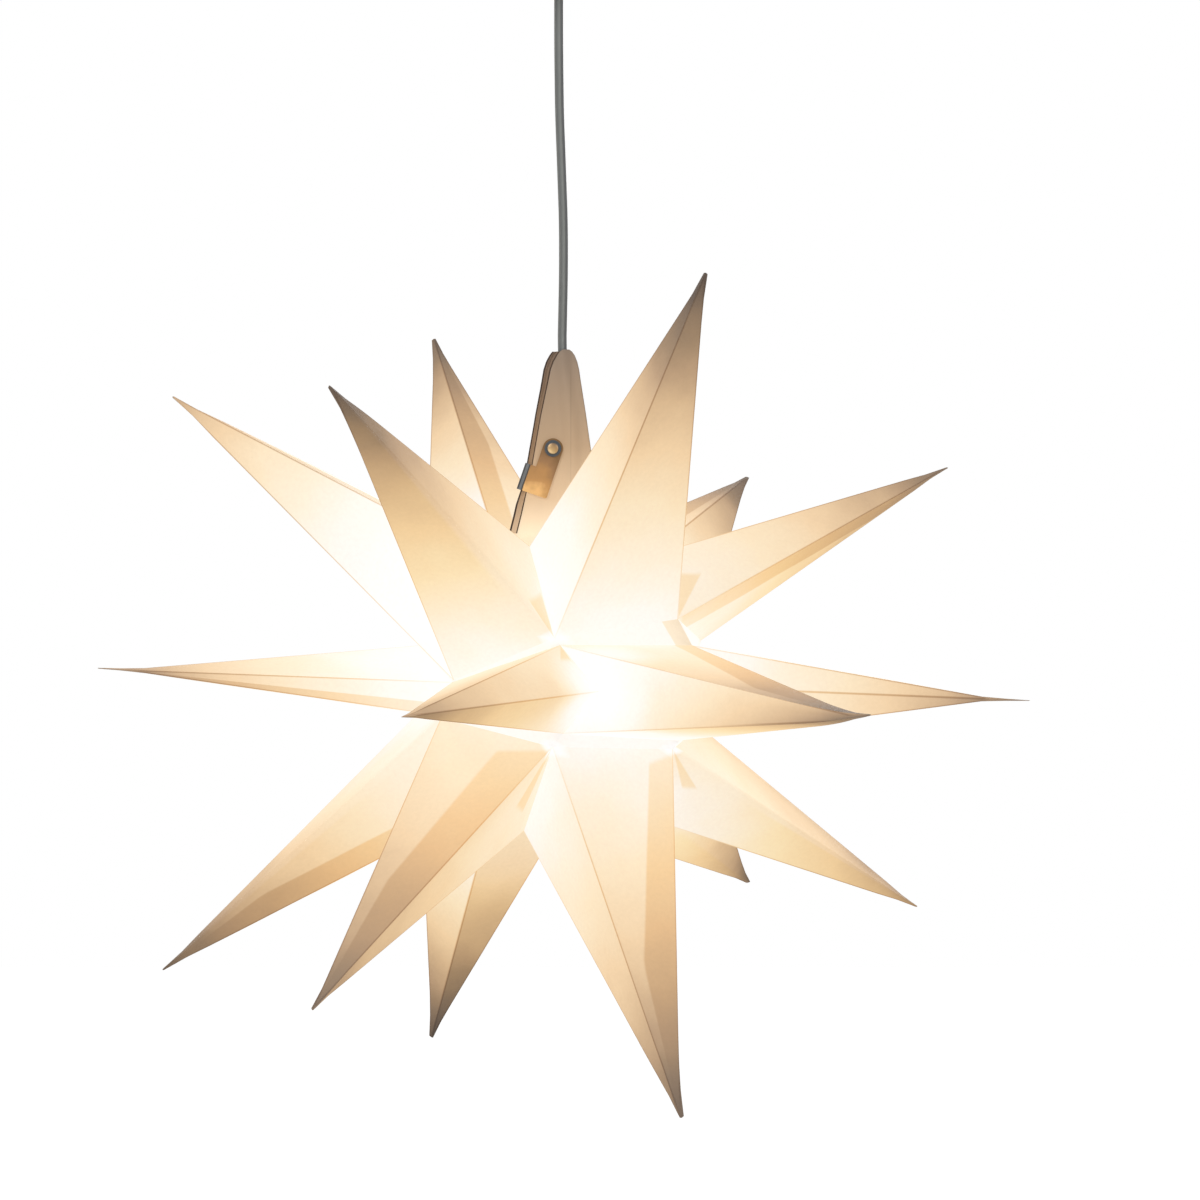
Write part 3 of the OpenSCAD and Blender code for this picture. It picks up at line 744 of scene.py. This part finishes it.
def cable_path():
    path = []
    for i in range(CABLE_STEPS + 1):
        rise = CABLE_END + (CABLE_TOP - CABLE_END) * i / CABLE_STEPS
        smoothed = min(1, (rise - CABLE_END) / CABLE_PLAIN_END, (CABLE_TOP - rise) / CABLE_PLAIN_END)
        x = smooth_cable_x(rise) * smoothed + cable_x(rise) * (1 - smoothed)
        path.append(STAR_CENTRE + np.array([x, 0, NECK_BASE + rise]))
    return path


def twin_outline():
    """Outline of the twin-core cable across: two round cores that meet in a groove."""
    points = []
    for side in (1, -1):
        for i in range(CORE_POINTS):
            angle = math.radians(-CORE_SWEEP + 2 * CORE_SWEEP * i / (CORE_POINTS - 1))
            out = CORE_APART / 2 + CORE_R * math.cos(angle)
            points.append((side * out, side * CORE_R * math.sin(angle)))
    return points


def add_cable():
    path = cable_path()
    outline = twin_outline()
    turn = math.radians(CABLE_TURN)
    count = len(outline)
    points, faces = [], []
    for middle in path:
        for x, y in outline:
            points.append(middle + np.array([x * math.cos(turn) - y * math.sin(turn),
                x * math.sin(turn) + y * math.cos(turn), 0]))
    for row in range(len(path) - 1):
        below, above = row * count, (row + 1) * count
        for i in range(count):
            following = (i + 1) % count
            faces.append((below + i, below + following, above + following, above + i))
    faces.append(tuple(range(count - 1, -1, -1)))
    faces.append(tuple((len(path) - 1) * count + i for i in range(count)))
    mesh = mesh_of("lamp_cable", [p * MM for p in points], faces)
    add_uv(mesh, "across", outline * len(path))
    smooth(mesh)
    piece = link("lamp_cable", mesh, cable_sheath(), "cable")


def cable_sheath():
    nodes = Nodes("cable_sheath")
    tone = nodes.noise(scale=90, detail=4, stretch=(1, 1, 0.2))
    beside = nodes.math("ADD", nodes.uv("across")[0], CABLE_R)
    # Painted shade and highlight across the cable
    colour = nodes.ramp(nodes.math("DIVIDE", beside, CABLE_D, clamp=True), CABLE_GREYS)
    colour = nodes.mix(nodes.step(tone, *SOFT_PATCHES), colour, (0.9, 0.9, 0.9), "MULTIPLY")
    nodes.surface(base_color=colour, roughness=0.42, specular_ior_level=0.5)
    nodes.bump(nodes.noise(scale=900, detail=2), strength=0.08, distance=0.3 * MM)
    return nodes.material


# The neck's leaves, as part.scad has them: height above the neck's base, and the
# left and right edge beside the star's middle
NECK_ROWS = [(0, -29, 24.5), (12, -26, 22.8), (26, -22.9, 20.8), (44, -19.2, 18.3),
    (52, -17.8, 17.2), (74, -13.9, 14.1), (95, -9.4, 10.8), (102, -8, 9.8), (107, -6.2, 8.6),
    (111, -4, 7), (113.4, -2.2, 5.3), (114.6, -0.4, 3.6)]
NECK_TOP = NECK_ROWS[-1][0]
LEAF_GAP = 1
LEAF_T = 1.5
FIT_GAP = 0.3
BULGE = CABLE_R + FIT_GAP - LEAF_GAP / 2
# The bulge round the cable ends this far beside the cable's middle
BULGE_HALF = 7
# Heights of a leaf's rows: those of the table and some between them
LEAF_HEIGHTS = sorted([row[0] for row in NECK_ROWS]
    + [6, 18, 32, 38, 60, 67, 81, 88, 99, 104.5, 109, 112.4])
LEAF_COLUMNS = 24
LEAF_LAYER_T = 0.32
# How far the leaves fan out at each height, as a share: least where the clip
# holds them. Their right edges fan out this share of what the left ones do.
FAN = [(0, 1.05), (18, 1.05), (30, 0.76), (70, 0.76), (90, 0.85), (110, 1)]
RIGHT_FAN = 1 / 3
# Each leaf's depth, how far it fans out to the left, how much lower it ends and
# its finish, from the front. The dark ones are the shadows between pale ones.
FRONT_LEAVES = [(LEAF_T, 0, 0, "card"), (1.1, 0.7, 0.3, "shadow"), (0.7, 2.2, 0.6, "inside")]
BACK_LEAVES = [(0.3, 3.8, 0.9, "inside"), (0.7, 4.9, 0.6, "shadow"), (LEAF_T, 4.2, 0.4, "card")]
# Colours and painted light of the leaves by height, as a share of the lit height
LIT_HEIGHT = 120
# Painted shade darkens the card towards the top, away from the star's glow below
NECK_CARD = [(0, (0.41, 0.30, 0.205)), (0.45, (0.41, 0.305, 0.21)), (0.8, (0.32, 0.245, 0.185)),
    (1.0, (0.26, 0.205, 0.165))]
NECK_LIGHT = [(0, (0.75, 0.62, 0.44)), (0.18, (0.42, 0.30, 0.18)), (0.45, (0.15, 0.092, 0.045)),
    (1.0, (0.015, 0.009, 0.004))]
NECK_STREAK = (0.26, 0.2, 0.15)
NECK_EDGE = (0.06, 0.045, 0.035)
NECK_FOLD_SHADE = (0.2, 0.15, 0.11)
LEAF_SHADOW = (0.055, 0.032, 0.02)
# The inner leaves are a copy of the card darkened as painted shade
OUTSIDE_SHARE = (1, 1, 1)
INNER_SHADE_SHARE = (0.64, 0.57, 0.52)
# Soft edges: of the dark line down a leaf's right edge in millimetres, of the
# faint upright fold's line of painted shade in metres, and of that fold's upper end as a share
EDGE_LINE = (0.5, 0.1)
FOLD_X = 7.5
FOLD_LINE = (0.0007, 0.0002)
FOLD_TOP = (0.92, 0.8)


def shadow_between_leaves():
    nodes = Nodes("leaf_shadow")
    tone = nodes.noise(scale=200, detail=3)
    nodes.surface(base_color=nodes.mix(tone, LEAF_SHADOW, toned(LEAF_SHADOW, 0.6)), roughness=0.85)
    return nodes.material


def neck_paper(name, share):
    """Card of the neck's leaves, which takes a share of the outer leaves' light and colour. For the
    inner leaves that share is painted shade.
    """
    nodes = Nodes(name)
    beside, _, upward = nodes.parts(nodes.position())
    height = nodes.math("SUBTRACT", upward, float(STAR_CENTRE[2] + NECK_BASE) * MM)
    rise = nodes.math("DIVIDE", height, LIT_HEIGHT * MM, clamp=True)
    streak = nodes.noise(scale=60, detail=4, stretch=(1, 1, 0.15))
    grain = nodes.noise(scale=500, detail=3)
    edge = nodes.step(nodes.uv("folds")[1], *EDGE_LINE)
    from_fold = nodes.math("ABSOLUTE", nodes.math("SUBTRACT", beside, FOLD_X * MM))
    fold = nodes.product(nodes.step(from_fold, *FOLD_LINE), nodes.step(rise, *FOLD_TOP))

    card = nodes.ramp(rise, NECK_CARD)
    card = nodes.mix(nodes.product(nodes.step(streak, *WORN_PATCHES), 0.3), card, NECK_STREAK)
    card = nodes.mix(1.0, card, share, "MULTIPLY")
    card = nodes.mix(nodes.product(edge, 0.7), card, NECK_EDGE)
    # Painted shade along the faint upright fold
    card = nodes.mix(nodes.product(fold, 0.3), card, NECK_FOLD_SHADE)
    # Painted light: the star's glow on the neck, strongest at its foot
    light = nodes.mix(1.0, nodes.ramp(rise, NECK_LIGHT), share, "MULTIPLY")
    nodes.surface(base_color=card, roughness=0.7, specular_ior_level=0.3, emission_color=light,
        emission_strength=1.0)
    nodes.bump(grain, strength=0.12, distance=0.4 * MM)
    return nodes.material


def collar_run(side):
    """Points along the half of the collar that one side of the neck stands on, from the left."""
    corner = [collar(sheet) for sheet in range(len(SHEETS))]
    left_end = between(corner[BACK_LEFT], corner[LEFT], 0.5)
    right_end = between(corner[FRONT_RIGHT], corner[RIGHT], 0.5)
    if side < 0:
        return [left_end, corner[LEFT], between(corner[LEFT], corner[FRONT_LEFT], 0.5),
            corner[FRONT_LEFT], between(corner[FRONT_LEFT], corner[FRONT_RIGHT], 0.33),
            between(corner[FRONT_LEFT], corner[FRONT_RIGHT], 0.67), corner[FRONT_RIGHT], right_end]
    return [left_end, corner[BACK_LEFT], between(corner[BACK_LEFT], corner[BACK_RIGHT], 0.5),
        between(corner[BACK_LEFT], corner[BACK_RIGHT], 0.8), corner[BACK_RIGHT],
        between(corner[BACK_RIGHT], corner[RIGHT], 0.5), corner[RIGHT], right_end]


def at_height(table, column, rise):
    """Value between the rows of a table that begin with their height."""
    return float(np.interp(rise, [row[0] for row in table], [row[column] for row in table]))


def collar_row(side):
    """A leaf's points along the collar, each with its lengths from both ends."""
    run = collar_run(side)
    lengths = np.cumsum([0] + [np.linalg.norm(b - a) for a, b in zip(run, run[1:])])
    row = []
    for column in range(LEAF_COLUMNS + 1):
        share = column / LEAF_COLUMNS
        along = share * lengths[-1]
        i = min(int(np.searchsorted(lengths, along, side="right")) - 1, len(run) - 2)
        point = between(run[i], run[i + 1], (along - lengths[i]) / (lengths[i + 1] - lengths[i]))
        row.append((point + np.array([0, 0, FIT_GAP]), (along, (1 - share) * lengths[-1])))
    return row


def leaf_row(side, depth, shift, rise):
    """A leaf's points at one height, each with its lengths from both edges. They bulge round
    the cable."""
    spread = shift * at_height(FAN, 1, rise)
    left = at_height(NECK_ROWS, 1, rise) - spread
    right = at_height(NECK_ROWS, 2, rise) - spread * RIGHT_FAN
    row = []
    for column in range(LEAF_COLUMNS + 1):
        x = left + (right - left) * column / LEAF_COLUMNS
        off = abs(x - smooth_cable_x(rise)) / BULGE_HALF
        bulge = BULGE * (1 + math.cos(math.pi * off)) / 2 if off < 1 else 0
        y = side * (LEAF_GAP / 2 + bulge + depth)
        row.append((STAR_CENTRE + np.array([x, y, NECK_BASE + rise]), (x - left, right - x)))
    return row


def neck_leaf(name, side, leaf, material, node):
    """One leaf. Only the outermost one of each side goes down to the collar."""
    depth, shift, lower_by = leaf
    heights = [height for height in LEAF_HEIGHTS if height <= NECK_TOP - lower_by]
    rows = [collar_row(side)] if depth == LEAF_T else []
    rows += [leaf_row(side, depth, shift, height) for height in heights]
    points = [point for row in rows for point, _ in row]
    faces = grid_faces(len(points), LEAF_COLUMNS)
    if side > 0:
        faces = [face[::-1] for face in faces]
    mesh = mesh_of(name, [p * MM for p in points], faces)
    add_uv(mesh, "folds", [mark for row in rows for _, mark in row])
    smooth(mesh)
    piece = link(name, mesh, material, node)
    thicken(piece, LEAF_LAYER_T)


def add_neck():
    finishes = {"card": neck_paper("neck_paper", OUTSIDE_SHARE),
        "inside": neck_paper("neck_paper_shaded_inside", INNER_SHADE_SHARE), "shadow": shadow_between_leaves()}
    for place, side, leaves in (("front", -1, FRONT_LEAVES), ("back", 1, BACK_LEAVES)):
        for i, (*leaf, finish) in enumerate(leaves):
            neck_leaf(f"neck_{place}_layer_{i + 1}", side, leaf, finishes[finish], f"neck_{place}_leaf")


# The clip and its rivet, placed and leaning as in part.scad
RIVET_X = -6.6
RIVET_RISE = 53
RIVET = STAR_CENTRE + np.array([RIVET_X, 0, NECK_BASE + RIVET_RISE])
CLIP_LEAN = math.radians(19)
CLIP_ACROSS = (math.cos(CLIP_LEAN), 0, -math.sin(CLIP_LEAN))
CLIP_ALONG = (math.sin(CLIP_LEAN), 0, math.cos(CLIP_LEAN))
DOME_R = 3.3
# The dark strip at the hook begins this far across, and a painted highlight line
# runs down it. Their soft edges, and the dome's, are in metres.
HOOK_STRIP = -9.8
HOOK_LINE = HOOK_STRIP - 1.6
HOOK_EDGE = ((HOOK_STRIP + 0.3) * MM, (HOOK_STRIP - 0.3) * MM)
HOOK_LINE_EDGE = (0.0012, 0.0004)
DOME_EDGE = ((DOME_R + 0.2) * MM, (DOME_R - 0.2) * MM)
HOOK_DARK = (0.035, 0.033, 0.032)
HOOK_HIGHLIGHT = (0.16, 0.17, 0.18)
# Painted sheen and shade: the clip's colour is lighter down its length and darker
# towards its right, and uneven by a noise
SHINE_LENGTH = 28
RIGHT_LOSS = 1.2
SHEEN_UNEVENNESS = 0.02
CLIP_SHINE = [(0, (0.2, 0.11, 0.045)), (0.35, (0.30, 0.165, 0.075)), (0.57, (0.42, 0.225, 0.085)),
    (0.78, (0.5, 0.27, 0.1)), (1, (0.78, 0.47, 0.19))]
# Painted sheen and shade on the rivet's dome from its bottom up, and painted shade in the ring round it
DOME_SHINE = [(0, (0.66, 0.50, 0.28)), (0.3, (0.50, 0.34, 0.16)), (0.7, (0.36, 0.23, 0.11)),
    (1, (0.2, 0.13, 0.08))]
RIVET_RING_SHADE = (0.05, 0.06, 0.07)


def from_rivet(nodes, piece):
    """Lengths across and along the clip from its rivet, in metres. They stay with a piece that
    swings."""
    place = nodes.add("TexCoord").outputs["Object"]
    rivet = tuple(piece.matrix_world.inverted() @ Vector(RIVET * MM))
    place = nodes.vector_math("SUBTRACT", place, rivet)
    return tuple(nodes.vector_math("DOT_PRODUCT", place, way) for way in (CLIP_ACROSS, CLIP_ALONG))


def clip_brass(piece):
    nodes = Nodes("clip_brass")
    across, along = from_rivet(nodes, piece)
    unevenness = nodes.product(nodes.math("SUBTRACT", nodes.noise(scale=90, detail=4), 0.5), SHEEN_UNEVENNESS)
    rightward = nodes.product(nodes.math("MAXIMUM", across, 0.0), RIGHT_LOSS)
    down = nodes.math("SUBTRACT", unevenness, nodes.math("ADD", along, rightward))
    # Painted sheen and shade down the clip
    colour = nodes.ramp(nodes.math("DIVIDE", down, SHINE_LENGTH * MM, clamp=True), CLIP_SHINE)
    hook = nodes.step(across, *HOOK_EDGE)
    from_line = nodes.math("ABSOLUTE", nodes.math("SUBTRACT", across, HOOK_LINE * MM))
    # Painted highlight line down the hook
    hook_colour = nodes.mix(nodes.step(from_line, *HOOK_LINE_EDGE), HOOK_DARK, HOOK_HIGHLIGHT)
    metal = nodes.math("SUBTRACT", 0.6, nodes.product(hook, 0.5))
    nodes.surface(base_color=nodes.mix(hook, colour, hook_colour), metallic=metal, roughness=0.45)
    nodes.bump(nodes.noise(scale=300, detail=3, stretch=(1, 1, 0.1)), strength=0.1, distance=0.2 * MM)
    return nodes.material


def rivet_brass(piece):
    """A gold dome with painted sheen and shade, within a ring of painted shade."""
    nodes = Nodes("rivet_brass")
    across, along = from_rivet(nodes, piece)
    squares = nodes.math("ADD", nodes.math("POWER", across, 2), nodes.math("POWER", along, 2))
    dome = nodes.step(nodes.math("SQRT", squares), *DOME_EDGE)
    height = nodes.math("ADD", along, DOME_R * MM)
    gold = nodes.ramp(nodes.math("DIVIDE", height, 2 * DOME_R * MM, clamp=True), DOME_SHINE)
    nodes.surface(base_color=nodes.mix(dome, RIVET_RING_SHADE, gold), metallic=nodes.product(dome, 0.6),
        roughness=0.38)
    nodes.bump(nodes.noise(scale=300, detail=3), strength=0.08, distance=0.2 * MM)
    return nodes.material


# The other hard pieces

def brass(name, light, dark, roughness):
    nodes = Nodes(name)
    unevenness = nodes.noise(scale=70, detail=5)
    colour = nodes.mix(nodes.step(unevenness, *WORN_PATCHES), light, dark)
    nodes.surface(base_color=colour, metallic=1.0, roughness=roughness)
    nodes.bump(nodes.noise(scale=300, detail=3, stretch=(1, 1, 0.1)), strength=0.1, distance=0.2 * MM)
    return nodes.material


def plastic(name, colour, roughness):
    nodes = Nodes(name)
    tone = nodes.noise(scale=40, detail=3)
    patches = nodes.product(nodes.step(tone, *SOFT_PATCHES), 0.5)
    shade = nodes.mix(patches, colour, toned(colour, 0.92))
    nodes.surface(base_color=shade, roughness=roughness, specular_ior_level=0.45)
    nodes.bump(nodes.noise(scale=700, detail=2), strength=0.05, distance=0.2 * MM)
    return nodes.material


def steel(name, colour, roughness):
    nodes = Nodes(name)
    tone = nodes.noise(scale=120, detail=4, stretch=(1, 1, 0.3))
    shade = nodes.mix(nodes.step(tone, *SOFT_PATCHES), colour, toned(colour, 0.8))
    nodes.surface(base_color=shade, metallic=1.0, roughness=roughness)
    nodes.bump(tone, strength=0.05, distance=0.2 * MM)
    return nodes.material


def lit_bulb():
    nodes = Nodes("bulb_glass")
    tone = nodes.noise(scale=30, detail=2)
    light = nodes.mix(nodes.step(tone, *SOFT_PATCHES), (1.0, 0.86, 0.66), (1.0, 0.9, 0.74))
    nodes.surface(base_color=(0.9, 0.88, 0.84), roughness=0.35, emission_color=light,
        emission_strength=2.0)
    return nodes.material


def dress(node, material):
    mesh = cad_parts[node].data
    mesh.materials.clear()
    mesh.materials.append(material)


def dress_hard_pieces():
    dress("clip_plate", clip_brass(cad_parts["clip_plate"]))
    dress("clip_rivet", rivet_brass(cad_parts["clip_rivet"]))
    lamp_plastic = plastic("lamp_plastic", (0.82, 0.81, 0.77), roughness=0.4)
    for node in ("holder_gland", "holder_cap", "holder_shell"):
        dress(node, lamp_plastic)
    lamp_steel = steel("lamp_steel", (0.66, 0.66, 0.65), roughness=0.3)
    for node in ("holder_contact", "bulb_base"):
        dress(node, lamp_steel)
    dress("bulb_glass", lit_bulb())
    cup_plastic = plastic("cup_plastic", (0.85, 0.85, 0.83), roughness=0.35)
    for node in ("ceiling_cup", "cup_gland"):
        dress(node, cup_plastic)
    dress("ceiling_bracket", steel("bracket_steel", (0.6, 0.61, 0.62), roughness=0.4))
    dress("cup_nuts", brass("nut_brass", (0.75, 0.55, 0.28), (0.6, 0.42, 0.2), roughness=0.2))


# The camera, at the photograph's angle. The star's centre shows at this pixel.
PHOTO_SIZE = 1200
STAR_PIXEL = (563.5, 690)
MM_PER_PIXEL = 0.6263
CAMERA_AWAY = 2630
CAMERA_RISE = 2.4
SENSOR = 36


def add_camera():
    data = bpy.data.cameras.new("camera")
    data.sensor_width = SENSOR
    data.lens = SENSOR * CAMERA_AWAY / (PHOTO_SIZE * MM_PER_PIXEL)
    data.shift_x = (PHOTO_SIZE / 2 - STAR_PIXEL[0]) / PHOTO_SIZE
    data.shift_y = (STAR_PIXEL[1] - PHOTO_SIZE / 2) / PHOTO_SIZE
    data.clip_end = 50
    camera = bpy.data.objects.new("camera", data)
    rise = math.radians(CAMERA_RISE)
    away = np.array([0, -math.cos(rise), math.sin(rise)]) * CAMERA_AWAY
    camera.location = tuple((STAR_CENTRE + away) * MM)
    camera.rotation_euler = (math.radians(90 - CAMERA_RISE), 0, 0)
    bpy.context.scene.collection.objects.link(camera)
    bpy.context.scene.camera = camera


# The room, in metres: a pale floor, a white background and soft lamps. The floor
# has one colour for the camera and one for the light that it turns back.
FLOOR_Z = -1.3
FLOOR_HALF = 6
FLOOR_SEEN = (0.25, 0.25, 0.25)
FLOOR_TURNED = (0.5, 0.49, 0.47)
# How white the floor shows near the star and far off, and where that changes
FLOOR_WHITE_NEAR, FLOOR_WHITE_FAR = 0.9, 1.0
FLOOR_WHITENS = (1.2, 3.0)
SKY_LIGHT = 0.14
# Each lamp's place beside the star's centre, size and power
LAMPS = {"key": ((-1.6, -2.2, 2.1), 1.6, 50), "fill": ((2.2, -2.0, 1.4), 1.8, 32),
    "low": ((-0.9, -1.9, -0.5), 1.0, 12), "back": ((0.6, 2.4, 1.3), 1.8, 38)}


def seen_ray(tree):
    """1 for camera, glossy and transmission rays, which see the white background."""
    path = tree.nodes.new("ShaderNodeLightPath")
    value = path.outputs["Is Camera Ray"]
    for name in ("Is Glossy Ray", "Is Transmission Ray"):
        either = tree.nodes.new("ShaderNodeMath")
        either.operation = "MAXIMUM"
        tree.links.new(value, either.inputs[0])
        tree.links.new(path.outputs[name], either.inputs[1])
        value = either.outputs[0]
    return value


def add_sky():
    world = bpy.data.worlds.new("room")
    bpy.context.scene.world = world
    world.use_nodes = True
    tree = world.node_tree
    tree.nodes.clear()
    white, light = (tree.nodes.new("ShaderNodeBackground") for _ in range(2))
    for background, strength in ((white, 1), (light, SKY_LIGHT)):
        background.inputs[0].default_value = (1, 1, 1, 1)
        background.inputs[1].default_value = strength
    pick = tree.nodes.new("ShaderNodeMixShader")
    output = tree.nodes.new("ShaderNodeOutputWorld")
    tree.links.new(seen_ray(tree), pick.inputs[0])
    tree.links.new(light.outputs[0], pick.inputs[1])
    tree.links.new(white.outputs[0], pick.inputs[2])
    tree.links.new(pick.outputs[0], output.inputs[0])


def pale_floor():
    nodes = Nodes("pale_floor")
    seen = seen_ray(nodes.tree)
    tone = nodes.mix(nodes.noise(scale=3, detail=2), FLOOR_SEEN, toned(FLOOR_SEEN, 0.96))
    far = nodes.step(nodes.vector_math("LENGTH", nodes.position()), *FLOOR_WHITENS)
    white = nodes.math("ADD", nodes.product(far, FLOOR_WHITE_FAR - FLOOR_WHITE_NEAR), FLOOR_WHITE_NEAR)
    nodes.surface(base_color=nodes.mix(seen, FLOOR_TURNED, tone), roughness=0.9,
        specular_ior_level=0.0, emission_color=(1, 1, 1), emission_strength=nodes.product(seen, white))
    return nodes.material


def add_floor():
    corners = [(x * FLOOR_HALF, y * FLOOR_HALF, FLOOR_Z) for x, y in ((-1, -1), (1, -1), (1, 1), (-1, 1))]
    mesh = mesh_of("floor", corners, [(0, 1, 2, 3)])
    mesh.materials.append(pale_floor())
    floor = bpy.data.objects.new("floor", mesh)
    bpy.context.scene.collection.objects.link(floor)


def add_lamp(name, offset, size, power):
    """A soft lamp that looks at the star's centre."""
    data = bpy.data.lights.new(name, "AREA")
    data.energy = power
    data.size = size
    lamp = bpy.data.objects.new(name, data)
    lamp.location = tuple(STAR_CENTRE * MM + np.array(offset))
    lamp.rotation_euler = (-Vector(offset)).to_track_quat("-Z", "Y").to_euler()
    bpy.context.scene.collection.objects.link(lamp)


# The scene

add_camera()
add_cable()
paper = star_paper()
for sheet in range(len(SHEETS)):
    star_sheet(sheet, paper)
add_neck()
dress_hard_pieces()
add_sky()
add_floor()
for name, (offset, size, power) in LAMPS.items():
    add_lamp(name, offset, size, power)

bpy.context.scene.view_settings.view_transform = "Standard"
